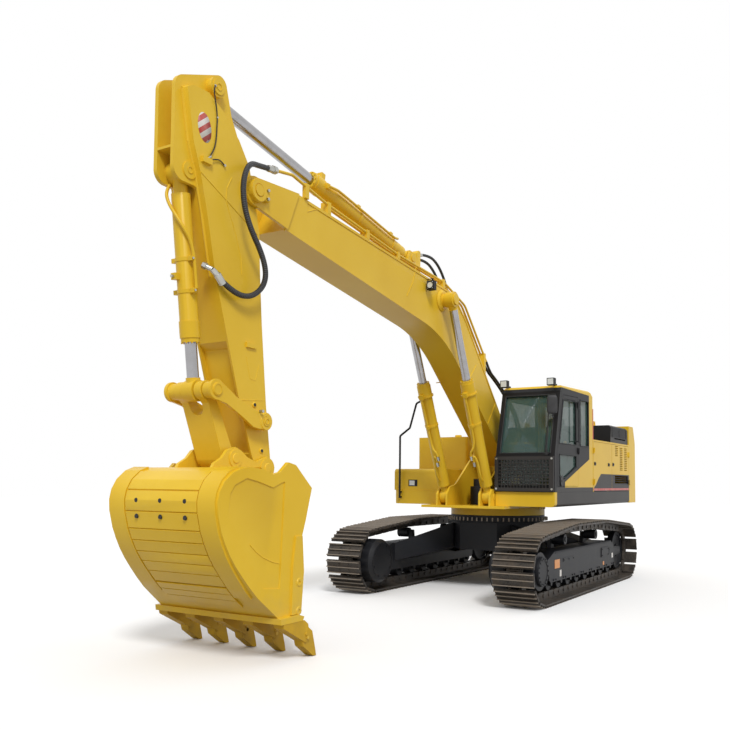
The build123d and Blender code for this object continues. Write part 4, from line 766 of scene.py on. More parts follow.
def track_line():
    """The chain's pin line: round the idler, over the carrier rollers and round the sprocket."""
    line = [(SPROCKET[0], SPROCKET[1] - PITCH_RADIUS)]
    for centre, first in ((IDLER, -90), (SPROCKET, 90)):
        for index in range(61):
            angle = math.radians(first + 180 * index / 60)
            line.append((centre[0] + PITCH_RADIUS * math.cos(angle), centre[1] + PITCH_RADIUS * math.sin(angle)))
        if first == -90:
            line += [(0.76, 1.0), (-0.80, 1.0)]
    return [Vector(place) for place in line]


def chain_pins():
    """Pin places at even distances along the line."""
    line = track_line()
    steps = list(zip(line, line[1:]))
    total = sum((b - a).length for a, b in steps)
    found = []
    for index in range(SHOE_COUNT):
        rest = total * index / SHOE_COUNT
        for a, b in steps:
            length = (b - a).length
            if length and rest <= length:
                found.append(a.lerp(b, rest / length))
                break
            rest -= length
    return found


class EXCAVATOR_OT_tracks(bpy.types.Operator):
    """Track shoes with three grousers each, their links, pins and bolts"""

    bl_idname = "excavator.tracks"
    bl_label = "Tracks"

    def execute(self, context):
        pins = chain_pins()
        for side_name, sign in SIDES:
            chain, tips = start(), start()
            x = sign * TRACK_X
            for a, b in zip(pins, pins[1:] + pins[:1]):
                along = (b - a).normalized()
                out = Vector((along.y, -along.x))
                middle, half = (a + b) / 2, (b - a).length / 2

                def at(share, height):
                    return tuple(middle + along * (share * half) + out * height)

                plate(chain, (at(-0.97, 0.062), at(0.97, 0.062), at(0.97, 0.084), at(-0.97, 0.084)), x - 0.3, x + 0.3)
                for share in (-0.80, 0.0, 0.80):
                    gap = 0.012 / half
                    root = (at(share - gap, 0.083), at(share + gap, 0.083), at(share + gap * 0.6, 0.105), at(share - gap * 0.6, 0.105))
                    plate(chain, root, x - 0.297, x + 0.297)
                    gap *= 0.6
                    tip = (at(share - gap, 0.105), at(share + gap, 0.105), at(share + gap * 0.7, 0.1145), at(share - gap * 0.7, 0.1145))
                    plate(tips, tip, x - 0.297, x + 0.297)
                for low, high in ((-0.1, -0.062), (0.062, 0.1)):
                    link = (at(-1.0, -0.03), at(-0.75, -0.048), at(0.75, -0.048), at(1.0, -0.03), at(0.96, 0.063), at(-0.96, 0.063))
                    plate(chain, link, x + low, x + high)
                rod(chain, (x - 0.112, *a), (x + 0.112, *a), 0.026, segments=10)
                for across in (-0.085, 0.085):
                    for share in (-0.40, 0.40):
                        y, z = at(share, 0.083)
                        turned = Vector((0, out.x, out.y))
                        foot = Vector((x + across, y, z))
                        rod(chain, foot, foot + turned * 0.011, 0.014, segments=6)
            piece = finish(f"chain_{side_name}", chain, "undercarriage", "track_steel", 0.0, 25)
            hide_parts(f"track_{side_name}")
            finish(f"grouser_tips_{side_name}", tips, "undercarriage", "worn_steel", 0.0, 25)
        return {"FINISHED"}


class EXCAVATOR_OT_undercarriage(bpy.types.Operator):
    """Bolts, covers and reflectors of the undercarriage"""

    bl_idname = "excavator.undercarriage"
    bl_label = "Undercarriage"

    def execute(self, context):
        for side_name, sign in SIDES:
            axis = Vector((sign, 0, 0))
            bm = start()
            hub = (sign * 1.632, *SPROCKET)
            ring(bm, (sign * 1.632, *SPROCKET), axis, ((0.150, -0.02), (0.150, 0.006), (0.196, 0.006), (0.203, -0.001), (0.203, -0.02)))
            bolts(bm, round_places(Vector(hub) + axis * 0.006, axis, 0.174, 16), axis, 0.012, 0.01)
            cap = (sign * 1.422, *IDLER)
            ring(bm, cap, axis, ((0.0, -0.002), (0.0, 0.03), (0.07, 0.03), (0.08, 0.02), (0.08, -0.002)), 28)
            bolts(bm, round_places(Vector(cap) + axis * 0.03, axis, 0.05, 6), axis, 0.008, 0.008)
            inner = Vector((sign * 0.95, *SPROCKET))
            ring(bm, inner, -axis, ((0.262, -0.004), (0.262, 0.006), (0.285, 0.006), (0.285, -0.004)), 44)
            bolts(bm, round_places(inner, -axis, 0.245, 8, 0.3), -axis, 0.013, 0.011)
            # Cover plates on the frame's flank
            for low, high in (
                ((1.54, -1.11, 0.545), (1.546, -0.62, 0.60)),
                ((1.54, 0.80, 0.47), (1.552, 1.22, 0.63)),
                ((1.54, 1.26, 0.50), (1.548, 1.36, 0.60)),
            ):
                block(bm, *spread(low, high, sign))
            bolts(bm, [(sign * 1.552, y, z) for y in (0.84, 1.18) for z in (0.50, 0.60)], axis, 0.012, 0.009)
            bolts(bm, [(sign * 1.546, y, 0.572) for y in (-1.08, -0.86, -0.65)], axis, 0.010, 0.008)
            # Edge flange along the frame's top, and roller cap bolts below
            seam(bm, on_side(sign * 1.541, ((-1.44, 0.70), (1.36, 0.70))), 0.008)
            for index in range(8):
                y = -1.48 + index * 2 * 1.48 / 7
                bolts(bm, [(sign * 1.54, y + dy, 0.32) for dy in (-0.05, 0.05)], axis, 0.014, 0.012)
            finish(f"frame_covers_{side_name}", bm, "undercarriage", "dark_paint", 0.0015, 30)
            bm = start()
            block(bm, *spread((1.54, -1.475, 0.475), (1.543, -1.265, 0.60), sign))
            block(bm, *spread((1.54, 0.90, 0.335), (1.543, 0.965, 0.395), sign))
            finish(f"frame_reflectors_{side_name}", bm, "undercarriage", "orange_film", 0, 30)
            bm = start()
            block(bm, *spread((1.54, -1.262, 0.345), (1.5425, -1.19, 0.44), sign))
            block(bm, *spread((1.54, 1.42, 0.42), (1.5425, 1.50, 0.50), sign))
            finish(f"frame_plates_{side_name}", bm, "undercarriage", "white_film", 0, 30)
        bm = start()
        bolts(bm, round_places((0, 0, 1.09), (0, 0, 1), 0.83, 60), (0, 0, 1), 0.012, 0.055)
        finish("ring_bolts", bm, "undercarriage", "worn_steel", 0, 30)
        bm = start()
        for place in round_places((0, 0, 1.29), (0, 0, 1), 0.79, 44):
            outward = Vector((place.x, place.y, 0)).normalized()
            rod(bm, place - outward * 0.004, place + outward * 0.012, 0.013, segments=6)
        finish("band_bolts", bm, "upper", "yellow_paint", 0.001, 30)
        return {"FINISHED"}


def spread(low, high, sign):
    """A block's corners on either side of the middle."""
    xs = sorted((low[0] * sign, high[0] * sign))
    return (xs[0], *low[1:]), (xs[1], *high[1:])


class EXCAVATOR_OT_boom(bpy.types.Operator):
    """Pin caps, weld beads and work lamp of the boom"""

    bl_idname = "excavator.boom"
    bl_label = "Boom"

    def execute(self, context):
        bm = start()
        for sign in (1, -1):
            axis = Vector((sign, 0, 0))
            tip = Vector((sign * 0.30, *BOOM_TIP))
            ring(bm, tip, axis, ((0, -0.004), (0, 0.010), (0.052, 0.010), (0.058, 0.004), (0.058, -0.004)), 32)
            ring(bm, tip, axis, ((0.07, -0.004), (0.07, 0.006), (0.112, 0.006), (0.112, -0.004)), 36)
            block(bm, *spread((0.252, -6.545, 4.565), (0.290, -6.475, 4.705), sign))
            root = Vector((sign * 0.255, *BOOM_CYLINDER[1]))
            ring(bm, root, axis, ((0.128, -0.042), (0.160, -0.036), (0.160, -0.028), (0.131, -0.002)), 40)
            # Weld beads: gusset near the tip, knee joints, and the seam beside the foot
            x = sign * 0.217
            seam(bm, on_side(x, ((-6.05, 4.795), (-6.14, 4.37))), 0.007)
            seam(bm, on_side(x, ((-5.83, 4.66), (-5.66, 4.74), (-5.52, 4.805), (-5.44, 4.81))), 0.006)
            seam(bm, on_side(x, ((-3.27, 4.66), (-3.36, 4.42), (-3.52, 4.20))), 0.007)
            seam(bm, on_side(x, ((-1.33, 3.55), (-1.60, 3.28), (-1.84, 3.24))), 0.007)
        finish("boom_fittings", bm, "boom", "yellow_paint", 0.002, 30)

        bm = start()
        lamp = Vector((0.30, -2.97, 4.455))
        block(bm, lamp + Vector((-0.055, -0.05, -0.065)), lamp + Vector((0.055, 0.04, 0.065)))
        ring(bm, lamp + Vector((0, -0.05, 0)), (0, -1, 0), ((0.044, 0), (0.044, 0.012), (0.054, 0.012), (0.054, 0)), 24)
        rod(bm, (0.30, -2.95, 4.52), (0.30, -2.95, 4.56), 0.012)
        block(bm, (0.222, -2.965, 4.553), (0.318, -2.935, 4.561))
        finish("boom_lamp", bm, "boom", "cab_black", 0.004, 30)
        bm = start()
        block(bm, lamp + Vector((-0.042, -0.0535, -0.048)), lamp + Vector((0.042, -0.05, 0.048)))
        finish("boom_lamp_lens", bm, "boom", "lens", 0.001, 30)

        # Hose end at the boom's tip
        bm = start()
        rod(bm, (0.25, -6.33, 4.961), (0.25, -6.455, 4.941), 0.036)
        rod(bm, (0.25, -6.35, 4.958), (0.25, -6.39, 4.952), 0.046, segments=6)
        rod(bm, (0.25, -6.455, 4.941), (0.25, -6.47, 4.939), 0.033)
        for sign in (1, -1):
            bolts(bm, [(sign * 0.290, -6.508, z) for z in (4.59, 4.68)], (sign, 0, 0), 0.018, 0.022)
        for x in (0.035, -0.045):
            z = 4.95 if x > 0 else 4.905
            rod(bm, (x, -2.92, z - 0.012), (x, -2.80, z + 0.015), 0.026)
            rod(bm, (x, -2.90, z - 0.007), (x, -2.87, z), 0.033, segments=6)
        finish("boom_hose_ends", bm, "boom", "zinc", 0.002, 30)
        return {"FINISHED"}


def along_line(start, end, distance, side_step=0.0, x=0.0):
    """A point on a (Y, Z) line, at a distance from its start and stepped square to it."""
    (y1, z1), (y2, z2) = start, end
    length = math.hypot(y2 - y1, z2 - z1)
    uy, uz = (y2 - y1) / length, (z2 - z1) / length
    return Vector((x, y1 + uy * distance - uz * side_step, z1 + uz * distance + uy * side_step))


class EXCAVATOR_OT_cylinders(bpy.types.Operator):
    """Hard pipes, clamps and gland bolts of the hydraulic cylinders"""

    bl_idname = "excavator.cylinders"
    bl_label = "Cylinders"

    def execute(self, context):
        for side_name, sign in SIDES:
            foot, eye = BOOM_CYLINDER
            body = f"boom_barrel_{side_name}"
            x = sign * CYLINDER_X
            bm = start()
            axis = (along_line(foot, eye, 2, 0, x) - along_line(foot, eye, 1, 0, x)).normalized()
            ring(bm, along_line(foot, eye, 1.70, 0, x), axis, ((0.098, -0.012), (0.122, -0.012), (0.122, 0.012), (0.098, 0.012)))
            bolts(bm, round_places(along_line(foot, eye, 1.91, 0, x), axis, 0.088, 10), axis, 0.009, 0.01)
            block_at(bm, along_line(foot, eye, 1.72, 0.125, x), axis, 0.036)
            block_at(bm, along_line(foot, eye, 1.22, 0.118, x), axis, 0.026)
            ring(bm, along_line(foot, eye, 1.22, 0, x), axis, ((0.098, -0.018), (0.106, -0.018), (0.106, 0.018), (0.098, 0.018)))
            finish(f"boom_cylinder_bands_{side_name}", bm, body, "yellow_paint", 0.002, 30)
            routes = (
                ("feed", ((1.72, 0.12, 0.0), (1.62, 0.155, 0.0), (1.52, 0.125, 0.0), (1.02, 0.125, 0.0), (0.93, 0.135, 0.01), (0.85, 0.160, 0.04), (0.80, 0.160, 0.085), (0.73, 0.155, 0.085))),
                ("return", ((0.30, 0.085, 0.0), (0.36, 0.140, 0.0), (0.60, 0.142, 0.0), (0.70, 0.150, 0.01), (0.76, 0.158, 0.035), (0.70, 0.155, 0.055), (0.63, 0.150, 0.055))),
            )
            for part, route in routes:
                tube(
                    f"boom_cylinder_{part}_{side_name}",
                    [along_line(foot, eye, distance, out, x - sign * across) for distance, out, across in route],
                    0.016,
                    body,
                    "yellow_paint",
                )
            bm = start()
            for distance, across in ((0.73, 0.085), (0.63, 0.055)):
                low = along_line(foot, eye, distance + 0.02, 0.156, x - sign * across)
                far = along_line(foot, eye, distance - 0.05, 0.150, x - sign * across)
                rod(bm, low, far, 0.022, segments=12)
            finish(f"boom_cylinder_unions_{side_name}", bm, body, "zinc", 0.001, 30)

        foot, eye = ARM_CYLINDER
        axis = (along_line(foot, eye, 2) - along_line(foot, eye, 1)).normalized()
        bm = start()
        for distance, size in ((2.10, 0.036), (1.30, 0.028), (0.50, 0.030)):
            block_at(bm, along_line(foot, eye, distance, -0.135, 0.02), axis, size)
            ring(bm, along_line(foot, eye, distance, 0, 0), axis, ((0.105, -0.02), (0.113, -0.02), (0.113, 0.02), (0.105, 0.02)))
        bolts(bm, round_places(along_line(foot, eye, 2.28, 0, 0), axis, 0.093, 10), axis, 0.010, 0.012)
        block(bm, along_line(foot, eye, 2.08, 0, 0.095) - Vector((0, 0.03, 0.03)), along_line(foot, eye, 2.08, 0, 0.14) + Vector((0, 0.03, 0.03)))
        finish("arm_cylinder_bands", bm, "arm_barrel", "yellow_paint", 0.002, 30)
        tube(
            "arm_cylinder_pipe",
            (
                along_line(foot, eye, 2.08, 0.0, 0.135),
                along_line(foot, eye, 1.95, -0.02, 0.150),
                along_line(foot, eye, 1.85, -0.05, 0.128),
                along_line(foot, eye, 1.20, -0.05, 0.128),
                along_line(foot, eye, 0.62, -0.05, 0.128),
                along_line(foot, eye, 0.50, -0.06, 0.125),
                along_line(foot, eye, 0.42, -0.10, 0.10),
            ),
            0.016,
            "arm_barrel",
            "yellow_paint",
        )

        foot, eye = BUCKET_CYLINDER
        axis = (along_line(foot, eye, 2) - along_line(foot, eye, 1)).normalized()
        bm = start()
        for distance in (0.82, 1.12):
            ring(bm, along_line(foot, eye, distance, 0, 0), axis, ((0.09, -0.02), (0.0955, -0.02), (0.0955, 0.02), (0.09, 0.02)))
            for sign in (1, -1):
                block_at(bm, along_line(foot, eye, distance, -0.03, sign * 0.108), axis, 0.022)
        bolts(bm, round_places(along_line(foot, eye, 1.60, 0, 0), axis, 0.084, 10), axis, 0.009, 0.012)
        block_at(bm, along_line(foot, eye, 0.98, -0.105, -0.03), axis, 0.032)
        finish("bucket_cylinder_bands", bm, "bucket_barrel", "yellow_paint", 0.002, 30)
        tube(
            "bucket_cylinder_pipe",
            (
                along_line(foot, eye, 0.05, 0.0, -0.085),
                along_line(foot, eye, 0.16, -0.10, -0.09),
                along_line(foot, eye, 0.28, -0.115, -0.06),
                along_line(foot, eye, 0.42, -0.112, 0.03),
                along_line(foot, eye, 0.54, -0.085, 0.095),
                along_line(foot, eye, 0.66, -0.03, 0.122),
                along_line(foot, eye, 0.85, 0.0, 0.125),
                along_line(foot, eye, 1.10, 0.0, 0.122),
            ),
            0.016,
            "bucket_barrel",
            "yellow_paint",
        )
        bm = start()
        for sign in (1, -1):
            bolts(bm, [along_line(foot, eye, d, -0.03, sign * 0.130) for d in (0.82, 1.12)], (sign, 0, 0), 0.012, 0.012)
        rod(bm, along_line(foot, eye, 0.98, -0.135, -0.03), along_line(foot, eye, 0.98, -0.165, -0.03), 0.014)
        finish("bucket_cylinder_bolts", bm, "bucket_barrel", "zinc", 0.001, 30)
        return {"FINISHED"}


def block_at(bm, place, axis, half):
    """A square block that stands in line with an axis."""
    turn = Vector(axis).to_track_quat("Z", "X").to_matrix().to_4x4()
    made = bmesh.ops.create_cube(bm, size=2 * half, matrix=Matrix.Translation(place) @ turn)["verts"]
    return made


class EXCAVATOR_OT_stick(bpy.types.Operator):
    """Weld beads, grease lines, marks and caps of the stick"""

    bl_idname = "excavator.stick"
    bl_label = "Stick"

    def execute(self, context):
        bm = start()
        for sign in (1, -1):
            axis = Vector((sign, 0, 0))
            x = sign * 0.2035
            seam(bm, on_side(sign * 0.132, ((-7.146, 3.659), (-7.28, 4.242), (-7.377, 4.598), (-7.477, 4.869), (-7.57, 5.347), (-7.49, 5.395), (-7.29, 5.405), (-7.10, 5.306), (-6.86, 5.10), (-6.70, 4.88))), 0.014)
            seam(bm, on_side(x, ((-6.95, 4.685), (-7.017, 4.562), (-7.027, 4.439), (-6.966, 4.308), (-6.874, 4.133), (-6.794, 3.921), (-6.774, 3.754))), 0.007)
            seam(bm, on_side(x, ((-7.374, 4.60), (-6.56, 4.222))), 0.008)
            seam(bm, on_side(x, ((-6.69, 2.951), (-6.62, 2.73), (-6.54, 2.72), (-6.49, 2.88))), 0.005)
            seam(bm, on_side(x, ((-6.76, 2.50), (-6.40, 2.53))), 0.005)
            for place, radius in (((-6.555, 2.471), 0.03), ((-6.433, 2.011), 0.028)):
                ring(bm, (x, *place), axis, ((0, -0.004), (0, 0.012), (radius - 0.006, 0.012), (radius, 0.006), (radius, -0.004)), 20)
            # Pad-eye on the flank
            block(bm, *spread((0.204, -6.70, 3.04), (0.226, -6.56, 3.09), sign))
            top = Vector((sign * 0.217, *ARM_CYLINDER[1]))
            foot = Vector((sign * 0.142, *BUCKET_CYLINDER[0]))
            pivot = Vector((sign * 0.314, *ROCKER_PIVOT))
            for place, radius in ((top, 0.055), (foot, 0.05), (pivot, 0.045)):
                inner = radius * 0.55
                ring(bm, place - axis * 0.004, axis, ((inner, 0), (inner, 0.010), (inner + 0.006, 0.010), (inner + 0.006, 0)), 28)
            block(bm, *spread((0.130, -7.40, 4.66), (0.150, -7.34, 4.72), sign))
        block(bm, (0.204, -7.375, 4.70), (0.236, -7.255, 4.755))
        finish("stick_fittings", bm, "stick", "yellow_paint", 0.002, 30)

        # Grease lines: steel pipe, painted black
        tube(
            "grease_line_long",
            (
                (0.222, -7.225, 5.50), (0.230, -7.255, 5.46), (0.226, -7.235, 5.38), (0.216, -7.20, 5.30),
                (0.213, -7.182, 5.20), (0.213, -7.185, 5.10), (0.213, -7.19, 4.97), (0.215, -7.225, 4.85),
                (0.220, -7.29, 4.765),
            ),
            0.006,
            "stick",
            "rubber",
        )
        tube(
            "grease_line_short",
            ((0.222, -7.28, 4.745), (0.222, -7.215, 4.775), (0.218, -7.13, 4.80), (0.214, -7.07, 4.765)),
            0.006,
            "stick",
            "rubber",
        )
        bm = start()
        for sign in (1, -1):
            for place in ((-6.555, 2.471), (-6.433, 2.011)):
                rod(bm, (sign * 0.21, *place), (sign * 0.2195, *place), 0.017, segments=18)
        finish("stick_plugs", bm, "stick", "rubber", 0.0, 30)
        bm = start()
        rod(bm, (0.222, -7.30, 4.755), (0.222, -7.265, 4.785), 0.010)
        rod(bm, (0.222, -7.30, 4.735), (0.222, -7.255, 4.745), 0.010)
        rod(bm, (0.206, -7.07, 4.765), (0.226, -7.07, 4.765), 0.014, segments=6)
        rod(bm, (0.21, -7.215, 5.51), (0.226, -7.23, 5.495), 0.012, segments=6)
        rod(bm, (0.205, -7.182, 5.20), (0.221, -7.182, 5.20), 0.010)
        # Elbow at the bucket cylinder's hose end
        rod(bm, (0.25, -7.095, 3.588), (0.25, -7.175, 3.665), 0.036)
        rod(bm, (0.25, -7.165, 3.655), (0.225, -7.215, 3.705), 0.028)
        rod(bm, (0.225, -7.215, 3.705), (0.165, -7.255, 3.738), 0.024)
        rod(bm, (0.180, -7.247, 3.730), (0.148, -7.265, 3.748), 0.034, segments=6)
        finish("stick_line_ends", bm, "stick", "zinc", 0.001, 30)

        self.striped_oval()
        return {"FINISHED"}

    def striped_oval(self):
        """Red and white slanting stripes in an oval, on both flanks."""
        for side_name, sign in SIDES:
            bm = start()
            bmesh.ops.create_circle(bm, cap_ends=True, segments=48, radius=1.0)
            turn = Matrix(((0, 0, 1), (1, 0, 0), (0, 1, 0))).to_4x4()
            bmesh.ops.scale(bm, vec=(0.088, 0.142, 1), verts=bm.verts[:])
            bmesh.ops.rotate(bm, matrix=Matrix.Rotation(math.radians(10), 3, "Z"), verts=bm.verts[:])
            bmesh.ops.transform(bm, matrix=Matrix.Translation((sign * 0.2065, -7.34, 5.043)) @ turn, verts=bm.verts[:])
            normal = Vector((0, -0.85, 1)).normalized()
            for index in range(-3, 4):
                place = Vector((0, -7.34, 5.043)) + normal * (index * 0.046 - 0.023)
                bmesh.ops.bisect_plane(bm, geom=bm.verts[:] + bm.edges[:] + bm.faces[:], dist=1e-6, plane_co=place, plane_no=normal)
            for face in bm.faces:
                offset = (face.calc_center_median() - Vector((0, -7.34, 5.043))).dot(normal) + 0.023
                face.material_index = math.floor(offset / 0.046) % 2
            piece = finish(f"striped_mark_{side_name}", bm, "stick", ("red_film", "white_film"), 0, 30)
            made = piece.modifiers.new("film", "SOLIDIFY")
            made.thickness = 0.001


class EXCAVATOR_OT_bucket(bpy.types.Operator):
    """Wear strips, pins and cutters of the bucket and its linkage"""

    bl_idname = "excavator.bucket"
    bl_label = "Bucket"

    def execute(self, context):
        bm = start()
        for sign in (1, -1):
            axis = Vector((sign, 0, 0))
            # Weld line down the side plate, and the wear plate's edge
            seam(bm, [(sign * (half_at(y) + 0.001), y, z) for y, z in ((-6.735, 1.70), (-6.75, 1.30), (-6.775, 0.90), (-6.80, 0.50))], 0.007)
            seam(bm, [(sign * (half_at(y) + 0.001), y, z) for y, z in ((-7.172, 1.131), (-7.09, 1.06), (-7.002, 1.003), (-6.88, 0.955), (-6.79, 0.935))], 0.005)
            for place, size, x in ((BUCKET_PIVOT, 0.052, 0.262), (LINK_FOOT, 0.05, 0.262)):
                ring(bm, (sign * x, *place), axis, ((0, -0.02), (0, 0.004), (size - 0.006, 0.004), (size, -0.002), (size, -0.02)), 28)
            # Side cutter strip with two lugs
            for y, z in ((-6.545, 0.47), (-6.545, 0.74)):
                x = half_at(y)
                ring(bm, (sign * x, y, z), axis, ((0.016, -0.01), (0.016, 0.03), (0.036, 0.03), (0.042, 0.022), (0.042, -0.01)), 20)
        # Pins through the tooth adapters
        for index in range(5):
            x = -0.769 + index * 0.3845
            for side_of in (1, -1):
                rod(bm, (x + side_of * 0.045, -6.42, 0.20), (x + side_of * 0.062, -6.42, 0.20), 0.018, segments=12)
        # Wear strips below the heel, as the ones above it
        for low, high in (((-7.163, 0.727), (-7.102, 0.668)), ((-7.096, 0.662), (-7.026, 0.601)), ((-7.020, 0.596), (-6.94, 0.532))):
            (y1, z1), (y2, z2) = low, high
            length = math.hypot(y2 - y1, z2 - z1)
            ny, nz = (z2 - z1) / length * 0.016, -(y2 - y1) / length * 0.016
            plate(bm, ((y1, z1), (y2, z2), (y2 + ny, z2 + nz), (y1 + ny, z1 + nz)), -0.455, 0.455)
        finish("bucket_fittings", bm, "bucket", "yellow_paint", 0.002, 30)
        # Dark discs in the strips' holes: painted shade inside the holes.
        bm = start()
        for place, out in (((-7.563, 1.52), (-0.99, -0.05)), ((-7.556, 1.37), (-0.98, 0.2))):
            for x in (-0.31, 0.0, 0.31):
                foot = Vector((x, *place))
                normal = Vector((0, *out)).normalized()
                rod(bm, foot, foot + normal * 0.0195, 0.021, segments=20)
        finish("bucket_strip_hole_shade", bm, "bucket", "rubber", 0.0, 30)

        bm = start()
        for sign in (1, -1):
            axis = Vector((sign, 0, 0))
            for place, radius in ((LINK_PIN, 0.052), (ROCKER_PIVOT, 0.046)):
                x = 0.314 if place == LINK_PIN else 0.302
                ring(bm, (sign * x, *place), axis, ((radius - 0.006, -0.004), (radius - 0.006, 0.004), (radius, 0.004), (radius, -0.004)), 28)
            ring(bm, (sign * 0.302, *ROCKER_PIVOT), axis, ((0.052, -0.004), (0.052, 0.006), (0.086, 0.006), (0.090, 0.0), (0.090, -0.004)), 32)
        finish("rocker_caps", bm, "rocker", "yellow_paint", 0.001, 30)
        bm = start()
        rod(bm, (0.300, -6.575, 2.40), (0.345, -6.575, 2.40), 0.016)
        finish("rocker_lock_pin", bm, "rocker", "zinc", 0.001, 30)
        return {"FINISHED"}


def half_at(y):
    """Half width over the bucket's side plates at a Y."""
    return 0.684 + 0.112 * (y + 7.56) / 1.16


class EXCAVATOR_OT_cab(bpy.types.Operator):
    """Seals, mirror, wiper, handles and lamps of the cab"""

    bl_idname = "excavator.cab"
    bl_label = "Cab"

    def execute(self, context):
        # Rubber seals round the panes
        bm = start()
        lean = 0.265 / 1.01
        corners = [(x, -1.2 + (z - 2.12) * lean - 0.004, z) for x, z in ((0.562, 2.165), (1.377, 2.165), (1.377, 3.07), (0.562, 3.07))]
        seam(bm, corners + corners[:1], 0.010)
        low = [(x, -1.203, z) for x, z in ((0.562, 1.665), (1.377, 1.665), (1.377, 2.075), (0.562, 2.075))]
        seam(bm, low + low[:1], 0.009)
        quarter = on_side(1.448, ((0.01, 2.32), (0.455, 2.32), (0.455, 3.08), (0.01, 3.07)))
        seam(bm, quarter + quarter[:1], 0.010)
        # Wiper, parked along the screen's left edge
        rod(bm, (1.30, -1.198, 2.20), (1.30, -1.01, 2.92), 0.006)
        rod(bm, (1.325, -1.21, 2.19), (1.305, -1.10, 2.58), 0.009)
        rod(bm, (1.33, -1.20, 2.16), (1.33, -1.23, 2.16), 0.028)
        finish("cab_seals", bm, "upper", "rubber", 0, 40)
        bm = start()
        upper = on_side(1.449, ((-0.99, 2.32), (-0.20, 2.32), (-0.20, 3.02), (-0.80, 3.00)))
        seam(bm, upper + upper[:1], 0.008)
        lower = on_side(1.449, ((-0.98, 1.80), (-0.72, 1.80), (-0.20, 1.96), (-0.20, 2.15), (-0.98, 2.15)))
        seam(bm, lower + lower[:1], 0.008)
        finish("door_seals", bm, "cab_door", "rubber", 0, 40)

        # Mirror on its bracket
        bm = start()
        bmesh.ops.create_cube(bm, size=1.0)
        bmesh.ops.bevel(bm, geom=bm.edges[:], offset=0.2, segments=4, profile=0.5, affect="EDGES", material=-1, offset_type="OFFSET")
        bmesh.ops.scale(bm, vec=(0.155, 0.075, 0.275), verts=bm.verts[:])
        bmesh.ops.rotate(bm, matrix=Matrix.Rotation(math.radians(18), 3, "Z"), verts=bm.verts[:])
        bmesh.ops.translate(bm, vec=(1.405, -1.185, 2.895), verts=bm.verts[:])
        rod(bm, (1.40, -1.03, 3.02), (1.405, -1.16, 3.03), 0.011)
        rod(bm, (1.405, -1.16, 3.03), (1.405, -1.18, 2.98), 0.011)
        rod(bm, (1.40, -1.09, 2.70), (1.405, -1.17, 2.72), 0.009)
        rod(bm, (1.405, -1.17, 2.72), (1.405, -1.18, 2.80), 0.009)
        finish("mirror_housing", bm, "upper", "black_plastic", 0, 40)
        bm = start()
        block(bm, (-0.062, 0.037, -0.115), (0.062, 0.0385, 0.115))
        bmesh.ops.rotate(bm, matrix=Matrix.Rotation(math.radians(18), 3, "Z"), verts=bm.verts[:])
        bmesh.ops.translate(bm, vec=(1.405, -1.185, 2.895), verts=bm.verts[:])
        finish("mirror_pane", bm, "upper", "mirror", 0, 40)

        # Door handle bar and recessed latch
        bm = start()
        rod(bm, (1.505, -0.24, 2.36), (1.505, -0.24, 3.02), 0.012)
        for z in (2.38, 3.0):
            rod(bm, (1.44, -0.24, z), (1.505, -0.24, z), 0.010)
        finish("door_handle", bm, "cab_door", "black_plastic", 0, 40)
        bm = start()
        bmesh.ops.create_circle(bm, cap_ends=True, segments=32, radius=1.0)
        bmesh.ops.scale(bm, vec=(0.062, 0.085, 1), verts=bm.verts[:])
        turn = Matrix(((0, 0, 1), (1, 0, 0), (0, 1, 0))).to_4x4()
        bmesh.ops.transform(bm, matrix=Matrix.Translation((1.449, -0.905, 1.745)) @ turn, verts=bm.verts[:])
        made = bmesh.ops.extrude_face_region(bm, geom=bm.faces[:])["geom"]
        bmesh.ops.translate(bm, vec=(0.012, 0, 0), verts=[v for v in made if isinstance(v, bmesh.types.BMVert)])
        block(bm, (1.455, -0.925, 1.73), (1.468, -0.885, 1.76))
        finish("door_latch", bm, "cab_door", "black_plastic", 0.002, 30)

        # Lamp lenses and guard bolts
        bm = start()
        for x in (0.56, 1.33):
            block(bm, (x - 0.047, -1.0535, 3.218), (x + 0.047, -1.0495, 3.308))
        finish("roof_lamp_lenses", bm, "upper", "lens", 0.001, 30)
        # Screen guard: a frame with welded cross bars
        (left, _, bottom), (right, _, top) = (0.552, 0, 1.637), (1.370, 0, 2.061)
        bm = start()
        low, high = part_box("front_guard")
        for corner, far in (
            ((low[0], low[2]), (high[0], bottom)),
            ((low[0], top), (high[0], high[2])),
            ((low[0], bottom), (left, top)),
            ((right, bottom), (high[0], top)),
        ):
            block(bm, (corner[0], -1.243, corner[1]), (far[0], -1.221, far[1]))
        for index in range(1, 16):
            x = left + (right - left) * index / 16
            rod(bm, (x, -1.2335, bottom - 0.01), (x, -1.2335, top + 0.01), 0.009, segments=8)
        for index in range(1, 8):
            z = bottom + (top - bottom) * index / 8
            rod(bm, (left - 0.01, -1.2305, z), (right + 0.01, -1.2305, z), 0.009, segments=8)
        for x in (low[0] + 0.022, high[0] - 0.040):
            for z in (low[2] + 0.052, high[2] - 0.035):
                rod(bm, (x, -1.222, z), (x, -1.2, z), 0.018, segments=16)
        piece = finish("front_guard_bars", bm, "upper", "charcoal_paint", 0.0, 30)
        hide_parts("front_guard")
        bm = start()
        for x in (0.52, 1.415):
            for z in (1.62, 2.08):
                rod(bm, (x, -1.244, z), (x, -1.252, z), 0.016, segments=14)
        finish("guard_bolts", bm, "upper", "zinc", 0.001, 30)

        # Marker rod behind the cab
        bm = start()
        rod(bm, (1.425, 0.735, 2.46), (1.425, 0.735, 2.98), 0.018)
        finish("marker_rod", bm, "upper", "red_film", 0.001, 40)
        return {"FINISHED"}


